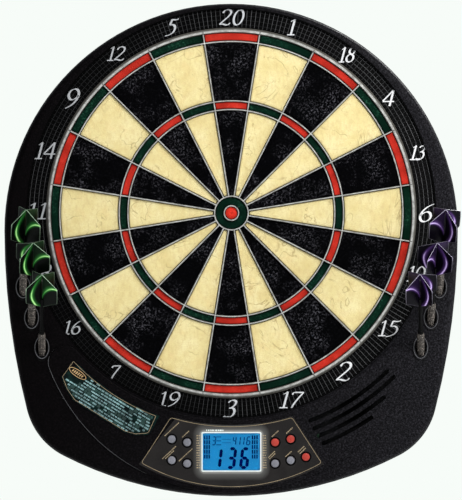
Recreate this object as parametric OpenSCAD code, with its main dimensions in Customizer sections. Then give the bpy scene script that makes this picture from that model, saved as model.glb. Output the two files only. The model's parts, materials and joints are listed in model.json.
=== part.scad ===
// Electronic dartboard: a moving-segment target in a wall cabinet, with an LCD
// scorer, nine buttons, a battery bay and six darts stored in tilted sockets.
//
// Everything is drawn in a working frame: X to the right, Y up, Z out of the wall,
// with Z = 0 on the wall and the Z axis through the middle of the bull. on_wall()
// stands that frame up, so that the target faces -Y and up is +Z.

/* [Cabinet] */
// Radius of the round upper part of the cabinet
body_r = 247.5; // [242:0.5:250]
// Drop of the round part's centre below the bull
body_drop = 19; // [15:1:23]
// Distance from the bull down to the lowest edge of the cabinet
body_below = 309; // [306:0.2:312]
// Radius of the two long side curves
side_r = 790; // [700:10:1000]
// Radius of the bottom curve
bottom_r = 401; // [390:1:415]
// Radius of the two lower corners
corner_r = 77; // [70:1:84]
// Height of the front face over the wall
face_z = 32.5; // [32:0.5:34]
// Height of the raised apron over the front face
apron_rise = 1.8; // [1.2:0.1:2.4]
// Height of the joint between rear cover and front housing
split_z = 16.5; // [16:0.5:17]
// Wall thickness of both casings
wall = 2.4; // [2:0.1:2.6]

/* [Target] */
// Outer radius of the doubles band
double_outer_r = 197.6; // [197:0.1:198]
// Inner radius of the doubles band
double_inner_r = 187; // [186:0.1:188]
// Outer radius of the trebles band
treble_outer_r = 122.3; // [121:0.1:124]
// Inner radius of the trebles band
treble_inner_r = 112.8; // [111:0.1:114]
// Outer radius of the outer bull
bull_outer_r = 18.4; // [18:0.1:20]
// Outer radius of the inner bull
bull_inner_r = 7.9; // [7.6:0.1:8.4]
// Height of the segments' faces over the wall
segment_z = 30.5; // [30:0.1:31]
// How far a segment travels when it is hit
segment_travel = 1.5; // [1:0.1:1.6]
// Gap between a segment and the spider's walls
segment_gap = 0.35; // [0.3:0.05:0.5]

/* [Spider] */
// Width of a spider wall at its base
web_base = 2; // [1.8:0.1:2.4]
// Width of a spider wall at its crest
web_crest = 0.9; // [0.6:0.1:1.2]
// Outer radius of the rim round the target
rim_r = 202; // [201.5:0.1:202.2]

/* [Number ring] */
// Outer radius of the recessed ring that carries the numbers
ring_r = 223.3; // [222.5:0.1:223.4]
// Height of that ring's floor over the wall
ring_floor_z = 28; // [27.5:0.1:28.5]

/* [Scorer] */
// Width of the display's window
lcd_w = 60; // [56:0.5:62]
// Height of the display's window
lcd_h = 38; // [36:0.5:40]
// Radius of a button's cap
button_r = 4.1; // [3.8:0.1:4.3]
// How far a button travels
button_travel = 1.2; // [0.8:0.1:1.4]

/* [Darts] */
// Lean of a stored dart out of the cabinet's face
dart_tilt = 40; // [38:1:42]
// Radius of a dart's barrel
barrel_r = 4.2; // [3.6:0.1:4.4]
// Reach of a flight's wing from the dart's axis
wing_reach = 20.8; // [18:0.2:21]

/* [Hidden] */
$fn = 96;
eps = 0.01;
beyond = 400;          // longer than any cut needs to be

// Cabinet outline: six tangent arcs, worked out from the driving radii.
body_c = [0, -body_drop];
bottom_c = [0, bottom_r - body_below];
side_cx = side_r - body_r;
corner_c = circles_meet([-side_cx, -body_drop], side_r - corner_r,
                        bottom_c, bottom_r - corner_r);
side_end = direction([-side_cx, -body_drop], corner_c);
bottom_end = direction(bottom_c, corner_c);

// Casing contours: how far each lies in from the outline, and its height.
cover_rows = [[2.2, 0], [0.7, 0.7], [0, 2.2], [0, split_z]];
edge_rows = [[1.2, split_z], [1.2, face_z - 6.5], [1.6, face_z - 4.2],
             [2.6, face_z - 2.4], [4.4, face_z - 1], [6.4, face_z - 0.25], [8.6, face_z]];
cavity_rows = [[1.2 + wall, split_z - eps], [1.2 + wall, face_z - 6.5],
               [4.4 + wall, face_z - wall]];

// Apron: the raised crescent under the number ring that carries the scorer.
well_r = 223.6;        // bore in the front housing for the number ring
well_wall_r = 225.6;   // outside of the wall round that bore
apron_z = face_z + apron_rise;
apron_c = [0, -93];
apron_r = 212.3;
apron_rows = [[0, face_z - 0.5], [0, apron_z - 0.8], [0.25, apron_z - 0.25], [0.8, apron_z]];
horn_r = 18;           // rounding of the crescent's two tips
horn_c = circles_meet(apron_c, apron_r - horn_r, [0, 0], well_wall_r + horn_r);

// Target layers, from the wall outwards.
floor_z = 2.5;         // inside of the rear cover's back
plate_z = 12;          // back of the backing plate
plate_t = 2.4;
membrane_z = plate_z + plate_t + 0.1;
membrane_t = 0.8;
rubber_z = membrane_z + membrane_t + 0.1;
rubber_t = 3.6;
layer_r = 202.5;
rim_z = rubber_z + rubber_t + 0.2;
flange_z = 21;         // back of a segment's flange
flange_t = 2.1;
face_gap = web_base / 2 + segment_gap;  // from a wall's middle to a segment
flange_gap = 0.4;      // from a wall's middle to a flange
web_z = 23.5;          // back of the spider's walls
web_shoulder_z = 30.2; // where a wall starts to taper
web_top_z = 32.9;
spoke_lift = 0.1;      // how far the spokes stand over the rings
rim_inner_r = double_outer_r - web_base / 2;
bridge = [1, 1.6];     // width and height of the inner bull ring's bridges
lug_r = 207;           // circle of the rim's screws
lug_angles = [for (i = [0:7]) 22.5 + 45 * i];
lug_screws = [for (a = lug_angles) polar(lug_r, a)];
lug_top_z = 22.2;

// Order of the numbers, clockwise from the top.
numbers = [20, 1, 18, 4, 13, 6, 10, 15, 2, 17, 3, 19, 7, 16, 8, 11, 14, 9, 12, 5];
sector = 360 / len(numbers);

// Screws: ten under the number ring, and six more in the lower cabinet.
ring_screws = [for (i = [0:9]) polar(213.5, 18 + 36 * i)];
low_screws = both_sides([[234, -24], [186, -232], [106, -281]]);
screw_shank_r = 1.5;
screw_head_r = 3.2;
screw_seat_z = 8;      // where the heads sit, in the rear cover's bosses
boss_r = 4.6;

// Keyholes for two wall screws.
keyhole_x = 100;
keyhole_y = 150;
keyhole_r = 5;
keyhole_slot_w = 4.6;
keyhole_slot = 12;

// Scorer.
lcd_c = [0, -260.2];
panel_pocket = 1;      // depth of the panel's seat in the apron
panel_z = apron_z - panel_pocket;
panel_t = 1.4;
hole_r = button_r + 0.8;
left_buttons = [[-65, -246.3], [-48.2, -249.9], [-65, -269.2], [-48.2, -272.9]];
right_buttons = [[47.6, -249.9], [64.6, -246.3], [47.6, -272.9], [64.6, -269.4]];
power_button = [81.2, -265.8];
buttons = concat(left_buttons, right_buttons, [power_button]);
board_z = 20.5;        // back of the main board
board_t = 1.6;
board_size = [192, 42];
board_c = [0, -261];
board_screws = both_sides([[92, -244], [92, -278]]);
mat_z = board_z + board_t;
skin_z = apron_z - panel_pocket - 1.4;  // inside of the apron under the panel
button_flange_z = skin_z - 1.7;
button_top_z = apron_z + 1.6;
ribbon_x = 24;
header_c = -248;       // the two ribbon headers on the board
header_size = [22, 9.4];
slot_rows = [[242, -69.2, -45.5], [251.4, -68.9, -45.3],
             [260.8, -68.6, -50.4], [270.2, -68.2, -55.6]];
slot_w = 4.6;

// Speaker and batteries.
speaker_c = [134.6, -215.4];
speaker_r = 25.6;
speaker_z = skin_z - 6.2;               // back of the speaker's basket
bay_c = [-132, -238];
bay_w = 56;
bay_h = 49;
door_t = 2.2;
door_gap = 0.4;
cell_r = 7.1;
cell_l = 49.4;
cell_pitch = 15.4;
cell_z = door_t + 1 + cell_r;
tongue_z = door_t + 0.9;                // back of the door's two tongues
tongue_x = 16;

// Darts: where their sockets open on the face, and stations along a dart's axis
// counted from there.
socket_points = [[227, -82], [217.7, -115.3], [206.5, -148]];
socket_bore_r = 6.2;
socket_r = 7.7;
socket_lip_r = 8.8;
socket_lip = 1.2;      // height of the lip over the face
socket_depth = 36;
tip_end = -34;
barrel_start = -14;
barrel_end = 23;
shaft_end = 61;
wing_start = 61.5;
tail_end = 108;

// ---------------------------------------------------------------- functions

function arc(c, r, a0, a1, n) =
    [for (i = [0:n - 1]) let (a = a0 + (a1 - a0) * i / n) c + r * [cos(a), sin(a)]];

function direction(a, b) = atan2(b[1] - a[1], b[0] - a[0]);

// Where two circles meet, to the right of the line from a to b.
function circles_meet(a, ra, b, rb) =
    let (d = norm(b - a), k = (ra * ra - rb * rb + d * d) / (2 * d),
         h = sqrt(ra * ra - k * k), u = (b - a) / d)
    a + k * u + h * [u[1], -u[0]];

function flip(p) = [-p[0], p[1]];

function both_sides(points) = concat([for (p = points) flip(p)], points);

function polar(r, a) = r * [cos(a), sin(a)];

// The cabinet's outline, counter-clockwise, drawn in by inset.
function outline(inset = 0) = concat(
    arc(body_c, body_r - inset, 0, 180, 60),
    arc([side_cx, -body_drop], side_r - inset, 180, 180 - side_end, 6),
    arc(flip(corner_c), corner_r - inset, 180 - side_end, 180 - bottom_end, 12),
    arc(bottom_c, bottom_r - inset, 180 - bottom_end, 360 + bottom_end, 20),
    arc(corner_c, corner_r - inset, 360 + bottom_end, 360 + side_end, 12),
    arc([-side_cx, -body_drop], side_r - inset, 360 + side_end, 360, 6));

// The apron's outline: along its lower curve, round one horn (whose tip is point
// 56), back along the number ring's wall and round the other horn.
function apron(inset = 0) =
    let (low = direction(apron_c, horn_c), top = direction([0, 0], horn_c),
         horn_in = 180 + top)
    concat(
        arc(apron_c, apron_r - inset, 180 - low, 360 + low, 48),
        arc(horn_c, horn_r - inset, low, horn_in, 16),
        arc([0, 0], well_wall_r + inset, top, -180 - top, 48),
        arc(flip(horn_c), horn_r - inset, -top, 180 - low, 16));

// A long slot with round ends along an arc about the bull.
function slot_outline(r, a0, a1) =
    concat(
        arc([0, 0], r + slot_w / 2, a0, a1, 20),
        arc(r * [cos(a1), sin(a1)], slot_w / 2, a1, a1 + 180, 8),
        arc([0, 0], r - slot_w / 2, a1, a0, 20),
        arc(r * [cos(a0), sin(a0)], slot_w / 2, a0 + 180, a0 + 360, 8));

// The control panel: its top follows the number ring, its foot the apron's edge.
function panel_outline(inset = 0) =
    let (top_r = 231 + inset, low_r = apron_r - 5.3 - inset, top = 73.2 + inset / 4,
         low = 60.8 + inset / 3.6)
    concat(arc([0, 0], top_r, -top, top - 180, 20),
           arc(apron_c, low_r, low - 180, -low, 30),
           [low_r * [cos(low), -sin(low)] + apron_c]);

// The legend plate beside it.
function legend_outline() =
    concat(arc([0, 0], 234.5, 250.5, 222.8, 16),
           [[-185.6, -178], [-180.6, -191.6], [-172, -204.4],
            [-116.5, -239.2], [-105, -242.4], [-91, -241.6], [-88, -239.4]]);

// ------------------------------------------------------------------ helpers

module on_wall() rotate([90, 0, 0]) children();

module post(p, r, z0, z1) translate([p[0], p[1], z0]) cylinder(r = r, h = z1 - z0);

module slab(points, z0, z1) translate([0, 0, z0]) linear_extrude(z1 - z0) polygon(points);

module block(c, size, z0, z1)
    translate([c[0] - size[0] / 2, c[1] - size[1] / 2, z0])
        cube([size[0], size[1], z1 - z0]);

module ring(r0, r1, z0, z1)
    difference() {
        post([0, 0], r1, z0, z1);
        post([0, 0], r0, z0 - 1, z1 + 1);
    }

function cabinet_rings(rows) =
    [for (row = rows) [for (p = outline(row[0])) [p[0], p[1], row[1]]]];

function apron_rings(rows) =
    [for (row = rows) [for (p = apron(row[0])) [p[0], p[1], row[1]]]];

// A solid through rings of points, from the lowest to the highest. Each end is
// closed by a ladder of triangles that starts at the outline's point "tip".
module loft(rings, tip = 0) {
    n = len(rings[0]);
    top = (len(rings) - 1) * n;
    sides = [for (j = [0:len(rings) - 2]) for (i = [0:n - 1])
             [j * n + i, (j + 1) * n + i, (j + 1) * n + (i + 1) % n, j * n + (i + 1) % n]];
    ladder = concat([for (k = [0:n / 2 - 2]) [tip - k - 1, tip - k, tip + k + 1]],
                    [for (k = [1:n / 2 - 1]) [tip - k, tip + k, tip + k + 1]]);
    foot_end = [for (t = ladder) [for (i = t) (i + n) % n]];
    top_end = [for (t = foot_end) [top + t[2], top + t[1], top + t[0]]];
    polyhedron([for (row = rings) for (p = row) p], concat(foot_end, sides, top_end));
}

// Turns Z onto a stored dart's axis at a socket's mouth.
module along_dart(p)
    translate([p[0], p[1], face_z]) rotate([dart_tilt - 90, 0, 0]) children();

// -------------------------------------------------------------------- casing

module rear_cover()
    color([0.05, 0.05, 0.055]) on_wall()
        difference() {
            union() {
                difference() {
                    loft(cabinet_rings(cover_rows));
                    slab(outline(wall), floor_z, split_z + 1);
                }
                for (p = concat(ring_screws, low_screws)) post(p, boss_r, 1, split_z);
                for (p = lug_screws) post(p, 3.8, 1, rim_z);
                for (r = [50, 110, 196]) ring(r, r + 2, 1, plate_z);
                cover_spokes();
                bay_walls();
            }
            for (p = concat(ring_screws, low_screws)) {
                post(p, screw_head_r + 0.4, -1, screw_seat_z);
                post(p, screw_shank_r + 0.1, -1, beyond);
            }
            for (p = lug_screws) post(p, screw_shank_r + 0.05, floor_z + 1, beyond);
            for (s = [-1, 1]) translate([s * keyhole_x, keyhole_y, 0]) keyhole();
            block(bay_c, [bay_w, bay_h], -1, floor_z + 0.6);
            for (s = [-1, 1])
                block(bay_c + [s * tongue_x, bay_h / 2], [9, 5], floor_z + 0.1, tongue_z + 2.4);
        }

// Eight ribs under the backing plate.
module cover_spokes()
    for (i = [0:7])
        rotate([0, 0, 45 * i])
            translate([51, -1, 1]) cube([146, 2, plate_z - 1]);

module keyhole() {
    post([0, 0], keyhole_r, -1, floor_z + 1);
    post([0, keyhole_slot], keyhole_slot_w / 2, -1, floor_z + 1);
    block([0, keyhole_slot / 2], [keyhole_slot_w, keyhole_slot], -1, floor_z + 1);
}

// Four walls round the battery bay, and a roof over its cells.
module bay_walls()
    difference() {
        block(bay_c, [bay_w + 4, bay_h + 4], 1, cell_z + cell_r + 2.2);
        block(bay_c, [bay_w, bay_h], 0, cell_z + cell_r + 0.6);
    }

module front_housing()
    color([0.09, 0.09, 0.10]) on_wall()
        difference() {
            union() {
                difference() {
                    union() {
                        loft(cabinet_rings(edge_rows));
                        loft(apron_rings(apron_rows), tip = 56);
                    }
                    housing_hollow();
                }
                for (p = low_screws) post(p, boss_r, split_z, face_z - wall + 0.5);
                for (p = board_screws) post(p, 3.4, mat_z + 0.05, skin_z + 0.7);
                translate([speaker_c[0], speaker_c[1], 0])
                    ring(speaker_r + 0.3, speaker_r + 1.9, speaker_z, skin_z + 0.7);
            }
            post([0, 0], well_r, 0, beyond);
            slab(panel_outline(-0.25), panel_z, beyond);
            for (p = low_screws) post(p, screw_shank_r + 0.05, split_z - 1, split_z + 10);
            for (p = board_screws) post(p, 1.35, mat_z - 1, mat_z + 6);
            for (p = both_sides(socket_points))
                along_dart(p) cylinder(r = socket_r + 0.15, h = 90, center = true);
            for (p = buttons) post(p, hole_r, split_z, beyond);
            block(lcd_c, [lcd_w + 4, lcd_h + 4], split_z, beyond);
            for (s = slot_rows) slab(slot_outline(s[0], s[1], s[2]), split_z, beyond);
        }

// The room inside the front housing, round the number ring's wall.
module housing_hollow()
    difference() {
        union() {
            loft(cabinet_rings(cavity_rows));
            slab(apron(wall), split_z, skin_z);
        }
        post([0, 0], well_wall_r, 0, beyond);
    }

module number_ring()
    color([0.03, 0.03, 0.035]) on_wall()
        difference() {
            union() {
                ring(rim_r + 0.6, ring_r, ring_floor_z - 2, ring_floor_z);
                ring(ring_r - 1.6, ring_r, ring_floor_z - 8, ring_floor_z - 1);
                ring(ring_r - 0.8, ring_r, ring_floor_z - 1.5, ring_floor_z + 3.6);
                for (p = ring_screws) post(p, boss_r, split_z + 0.1, ring_floor_z - 1);
            }
            for (p = ring_screws) post(p, screw_shank_r + 0.05, 0, split_z + 9);
        }

// -------------------------------------------------------------------- target

module web_profile()
    polygon([[-web_base / 2, web_z], [web_base / 2, web_z],
             [web_base / 2, web_shoulder_z], [web_crest / 2, web_top_z],
             [-web_crest / 2, web_top_z], [-web_base / 2, web_shoulder_z]]);

module rim_profile()
    polygon([[rim_inner_r, rim_z], [rim_r, rim_z], [rim_r, web_shoulder_z - 0.6],
             [double_outer_r + 1.6, web_top_z], [double_outer_r, web_top_z],
             [rim_inner_r, web_shoulder_z]]);

// The rim, with a notch in its crest for each spoke and eight lugs at its back.
module target_rim()
    color([0.78, 0.78, 0.74]) on_wall()
        difference() {
            union() {
                rotate_extrude() rim_profile();
                for (a = lug_angles)
                    rotate([0, 0, a]) translate([rim_r - 1, -4, rim_z + eps])
                        cube([lug_r + 4 - rim_r, 8, lug_top_z - rim_z]);
            }
            for (p = lug_screws) post(p, screw_shank_r + 0.2, 0, lug_top_z + 1);
            for (i = [0:len(numbers) - 1])
                rotate([0, 0, sector * (i + 0.5)])
                    translate([rim_inner_r - 1, -web_crest / 2 - 0.1, web_top_z - 0.9])
                        cube([rim_r, web_crest + 0.2, 2]);
        }

// Five rings and twenty spokes that stand a hair proud of them.
module spider()
    color([0.78, 0.78, 0.74]) on_wall() {
        for (r = [bull_inner_r, bull_outer_r, treble_inner_r, treble_outer_r, double_inner_r])
            rotate_extrude() translate([r, 0]) web_profile();
        for (i = [0:len(numbers) - 1])
            rotate([0, 0, sector * (i + 0.5)])
                translate([bull_outer_r, 0, spoke_lift]) rotate([90, 0, 90])
                    linear_extrude(rim_inner_r - 0.05 - bull_outer_r) web_profile();
        bull_bridges(bridge[0], web_z + spoke_lift, web_z + bridge[1]);
    }

// Four bars between the walls of the two bull rings.
module bull_bridges(width, z0, z1)
    for (a = [36:90:306])
        rotate([0, 0, a]) translate([bull_inner_r + web_base / 4, -width / 2, z0])
            cube([bull_outer_r - bull_inner_r - web_base / 2, width, z1 - z0]);

// Part of one sector between two radii, standing clear of the webs' middles by gap.
module sector_shape(r0, r1, gap)
    intersection() {
        difference() {
            circle(r = r1 - gap);
            circle(r = r0 + gap);
        }
        translate([gap / sin(sector / 2), 0])
            polygon([[0, 0], beyond * [cos(sector / 2), -sin(sector / 2)],
                     beyond * [cos(sector / 2), sin(sector / 2)]]);
    }

module segment(r0, r1) {
    translate([0, 0, flange_z + flange_t - eps])
        linear_extrude(segment_z - flange_z - flange_t + eps)
            sector_shape(r0, r1, face_gap);
    translate([0, 0, flange_z]) linear_extrude(flange_t)
        sector_shape(r0, min(r1, rim_inner_r), flange_gap);
}

// The four segments of one number: double, outer single, treble, inner single.
module segments(number) {
    i = search(number, numbers)[0];
    single = i % 2 == 0 ? [0.06, 0.06, 0.07] : [0.93, 0.85, 0.60];
    band = i % 2 == 0 ? [0.80, 0.15, 0.12] : [0.04, 0.20, 0.12];
    on_wall() rotate([0, 0, 90 - sector * i]) {
        color(band) segment(double_inner_r, double_outer_r);
        color(single) segment(treble_outer_r, double_inner_r);
        color(band) segment(treble_inner_r, treble_outer_r);
        color(single) segment(bull_outer_r, treble_inner_r);
    }
}

module outer_bull()
    color([0.04, 0.20, 0.12]) on_wall()
        difference() {
            union() {
                ring(bull_inner_r + face_gap, bull_outer_r - face_gap, flange_z, segment_z);
                ring(bull_inner_r + flange_gap, bull_outer_r - flange_gap,
                     flange_z, flange_z + flange_t);
            }
            bull_bridges(bridge[0] + 1, flange_z + flange_t,
                         web_z + bridge[1] + segment_travel + 0.4);
        }

module inner_bull()
    color([0.80, 0.12, 0.10]) on_wall() {
        post([0, 0], bull_inner_r - face_gap, flange_z, segment_z);
        post([0, 0], bull_inner_r - flange_gap, flange_z, flange_z + flange_t);
    }

module backing_plate()
    color([0.42, 0.30, 0.18]) on_wall() post([0, 0], layer_r, plate_z, plate_z + plate_t);

module membrane_matrix()
    color([0.75, 0.78, 0.70]) on_wall() {
        post([0, 0], layer_r, membrane_z, membrane_z + membrane_t);
        for (s = [-1, 1])
            block([s * ribbon_x, -206], [20, 16], membrane_z, membrane_z + membrane_t);
    }

module rubber_sheet()
    color([0.10, 0.10, 0.10]) on_wall() post([0, 0], layer_r, rubber_z, rubber_z + rubber_t);

// Two flat ribbons from the membrane's tails to the headers on the board.
module ribbon_cables() {
    tail = -214;
    header = header_c + header_size[1] / 2;
    color([0.80, 0.80, 0.78]) on_wall()
        for (s = [-1, 1])
            block([s * ribbon_x, (tail + header) / 2], [18, tail - header],
                  membrane_z + 0.1, membrane_z + 0.6);
}

// -------------------------------------------------------------------- scorer

module control_panel()
    color([0.13, 0.13, 0.14]) on_wall()
        difference() {
            slab(panel_outline(), panel_z, panel_z + panel_t);
            for (p = buttons) post(p, hole_r, 0, beyond);
            block(lcd_c, [lcd_w + 3, lcd_h + 3], 0, beyond);
        }

module legend_plate()
    color([0.04, 0.12, 0.11]) on_wall()
        slab(legend_outline(), apron_z, apron_z + 0.8);

module lcd_window()
    color([0.7, 0.85, 0.95, 0.35]) on_wall()
        block(lcd_c, [lcd_w + 2.8, lcd_h + 2.8], panel_z + 0.2, panel_z + panel_t);

module lcd_glass()
    color([0.10, 0.50, 0.80]) on_wall()
        block(lcd_c, [lcd_w, lcd_h], panel_z - 1.4, panel_z + 0.1);

// Backlight in a frame that stands on the board and carries the glass.
module backlight_panel()
    color([0.95, 0.95, 0.95]) on_wall()
        difference() {
            block(lcd_c, [lcd_w + 3.4, lcd_h + 3.4], mat_z, panel_z);
            block(lcd_c, [lcd_w + 0.2, lcd_h + 0.2], panel_z - 1.4, panel_z + 1);
            block(lcd_c, [lcd_w - 6, lcd_h - 6], mat_z - 1, panel_z - 4);
        }

module main_board()
    color([0.10, 0.35, 0.15]) on_wall() {
        difference() {
            block(board_c, board_size, board_z, mat_z);
            for (p = board_screws) post(p, 1.6, 0, beyond);
        }
        for (s = [-1, 1])
            block([s * ribbon_x, header_c], header_size, membrane_z - 1, board_z);
        block([56, -268], [14, 14], board_z - 1.8, board_z);
        block([-60, -262], [10, 6], board_z - 3, board_z);
    }

// Silicone mat with a dome under each button, drawn at its pressed height.
module button_mat()
    color([0.82, 0.80, 0.76]) on_wall()
        for (s = [[-56.6, 28], [64.4, 44.6]])
            union() {
                block([s[0], -259.6], [s[1], 36], mat_z, mat_z + 1.4);
                for (p = buttons)
                    if (abs(p[0] - s[0]) < s[1] / 2)
                        translate([p[0], p[1], mat_z + 1])
                            cylinder(r1 = 4.6, r2 = 3,
                                     h = button_flange_z - button_travel - 2.4 - mat_z);
            }

module button(p, tint)
    color(tint) on_wall() {
        intersection() {
            post(p, button_r, button_flange_z, button_top_z);
            translate([p[0], p[1], button_top_z - 14]) sphere(r = 14);
        }
        post(p, button_r + 1.6, button_flange_z, button_flange_z + 1.4);
        post(p, 2.2, button_flange_z - 1, button_flange_z + 1);
    }

module grey_button(p) button(p, [0.55, 0.55, 0.57]);
module red_button(p) button(p, [0.85, 0.25, 0.15]);

// Basket and cone, with the magnet behind.
module speaker()
    color([0.12, 0.12, 0.13]) on_wall() {
        difference() {
            post(speaker_c, speaker_r, speaker_z, skin_z - 0.1);
            translate([speaker_c[0], speaker_c[1], speaker_z + 1])
                cylinder(r1 = 9, r2 = speaker_r - 2.5, h = skin_z - speaker_z);
        }
        post(speaker_c, 13, speaker_z - 10, speaker_z);
    }

module batteries()
    color([0.75, 0.55, 0.20]) on_wall()
        for (i = [-1:1])
            translate([bay_c[0] - cell_l / 2, bay_c[1] + i * cell_pitch, cell_z])
                rotate([0, 90, 0]) {
                    cylinder(r = cell_r, h = cell_l - 1.2);
                    cylinder(r = 2.7, h = cell_l);
                }

// A plate at each end of each cell, with a tapered spring that reaches the cell.
module battery_contacts() {
    plate = 0.5;
    color([0.8, 0.8, 0.82]) on_wall()
        for (i = [-1:1]) for (s = [-1, 1])
            translate([bay_c[0] + s * bay_w / 2, bay_c[1] + i * cell_pitch, cell_z])
                rotate([0, -90 * s, 0]) {
                    translate([-5, -5, 0]) cube([10, 10, plate]);
                    cylinder(r1 = 4.4, r2 = 2.4, h = (bay_w - cell_l) / 2 - 0.05);
                }
}

// A tray with a latch finger at its foot and two tongues at its head.
module battery_door() {
    latch_w = 14;
    color([0.05, 0.05, 0.055]) on_wall() {
        difference() {
            block(bay_c, [bay_w - 2 * door_gap, bay_h - 2 * door_gap], 0, door_t);
            for (i = [0:3])
                block(bay_c + [0, -bay_h / 2 + 3 + 2.4 * i], [10, 1.2], -1, 0.6);
            for (s = [-1, 1])
                block(bay_c + [s * latch_w / 2, -bay_h / 2 + 6], [0.8, 12], -1, door_t + 1);
        }
        for (s = [-1, 1]) {
            block(bay_c + [s * tongue_x, bay_h / 2 - 1.5], [8, 6], tongue_z, tongue_z + 1);
            block(bay_c + [s * tongue_x, bay_h / 2 - 3], [8, 3], door_t - 1, tongue_z + 0.5);
        }
    }
}

// --------------------------------------------------------------------- darts

// A tube closed at its foot, cut level with the top of its lip.
module socket(p)
    difference() {
        intersection() {
            union() {
                along_dart(p) translate([0, 0, -socket_depth]) cylinder(r = socket_r, h = 70);
                intersection() {
                    along_dart(p) cylinder(r = socket_lip_r, h = 60, center = true);
                    post(p, 60, face_z, beyond);
                }
            }
            post(p, 60, 0, face_z + socket_lip);
        }
        along_dart(p) translate([0, 0, tip_end - 0.4]) cylinder(r = socket_bore_r, h = 90);
    }

module dart_sockets()
    color([0.16, 0.16, 0.17]) on_wall()
        for (p = both_sides(socket_points)) socket(p);

module dart_tip()
    rotate_extrude() polygon([[0, tip_end], [0.5, tip_end + 0.6], [1.1, tip_end + 8],
        [1.4, barrel_start - 4], [2.6, barrel_start - 3], [2.6, barrel_start - 0.05],
        [0, barrel_start - 0.05]]);

// Barrel with a tapered nose, a ringed grip and a tapered tail.
module dart_barrel() {
    grooves = 10;
    pitch = 2.4;
    first = barrel_start + 6;
    rotate_extrude() polygon(concat(
        [[0, barrel_start], [2.8, barrel_start], [barrel_r, barrel_start + 4]],
        [for (i = [0:grooves - 1]) for (k = [0, 0.3, 1.1, 1.4])
         [barrel_r - (k == 0.3 || k == 1.1 ? 0.45 : 0), first + i * pitch + k]],
        [[barrel_r, barrel_end - 5], [3.2, barrel_end], [0, barrel_end]]));
}

module dart_shaft()
    difference() {
        rotate_extrude() polygon([[0, barrel_end + 0.05], [3, barrel_end + 0.05],
            [3, barrel_end + 3], [2.2, barrel_end + 8], [2, shaft_end - 14],
            [2.6, shaft_end - 6], [2.4, shaft_end + 12], [0, shaft_end + 12]]);
        for (a = [45, 135])
            rotate([0, 0, a]) translate([-5, -0.4, shaft_end]) cube([10, 0.8, 20]);
    }

// One wing of a flight: a flat film from near the axis out to the reach.
module dart_wing()
    rotate([90, 0, 0]) translate([0, 0, -0.2]) linear_extrude(0.4)
        polygon([[0.5, wing_start], [wing_reach, tail_end - 31],
                 [wing_reach, tail_end - 10.5], [0.5, tail_end]]);

module dart(p, tint)
    on_wall() along_dart(p) {
        color([0.9, 0.9, 0.88]) dart_tip();
        color([0.55, 0.52, 0.46]) dart_barrel();
        color([0.05, 0.05, 0.05]) dart_shaft();
        color(tint) for (a = [45:90:315]) rotate([0, 0, a]) dart_wing();
    }

module left_dart(i) dart(flip(socket_points[i]), [0.20, 0.65, 0.25]);
module right_dart(i) dart(socket_points[i], [0.35, 0.15, 0.50]);

// ------------------------------------------------------------------- screws

// A pan-head screw whose head bears at seat_z, on the side away from end_z.
module screw(p, seat_z, end_z, head = [screw_head_r, 2.4], shank_r = screw_shank_r) {
    up = end_z > seat_z ? -1 : 1;
    post(p, head[0], min(seat_z, seat_z + up * head[1]), max(seat_z, seat_z + up * head[1]));
    post(p, shank_r, min(seat_z, end_z) - (up < 0 ? 0.5 : 0),
         max(seat_z, end_z) + (up > 0 ? 0.5 : 0));
}

module housing_screws()
    color([0.6, 0.6, 0.62]) on_wall()
        for (p = concat(ring_screws, low_screws)) screw(p, screw_seat_z - 0.05, split_z + 8);

// Eight that hold the rim down, and four that hold the main board.
module inner_screws()
    color([0.6, 0.6, 0.62]) on_wall() {
        for (p = lug_screws) screw(p, lug_top_z + 0.05, 6);
        for (p = board_screws) screw(p, board_z - 0.05, mat_z + 5, head = [2.4, 1.4],
                                     shank_r = 1.3);
    }

// -------------------------------------------------------------------- nodes

rear_cover();
front_housing();
number_ring();
target_rim();
spider();
backing_plate();
membrane_matrix();
rubber_sheet();
control_panel();
legend_plate();
lcd_window();
lcd_glass();
backlight_panel();
main_board();
button_mat();
speaker();
ribbon_cables();
battery_contacts();
batteries();
battery_door();
dart_sockets();
housing_screws();
inner_screws();
grey_button(left_buttons[0]);  // button_top_outer_left
grey_button(left_buttons[1]);  // button_top_inner_left
grey_button(left_buttons[2]);  // button_low_outer_left
grey_button(left_buttons[3]);  // button_low_inner_left
red_button(right_buttons[0]);  // button_top_inner_right
red_button(right_buttons[1]);  // button_top_outer_right
grey_button(right_buttons[2]);  // button_low_inner_right
grey_button(right_buttons[3]);  // button_low_outer_right
red_button(power_button);  // button_power
left_dart(0);  // dart_left_top
left_dart(1);  // dart_left_middle
left_dart(2);  // dart_left_bottom
right_dart(0);  // dart_right_top
right_dart(1);  // dart_right_middle
right_dart(2);  // dart_right_bottom
for (number = numbers)
    segments(number);
outer_bull();
inner_bull();
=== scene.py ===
import json
import math
import random
from functools import partialmethod

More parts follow.
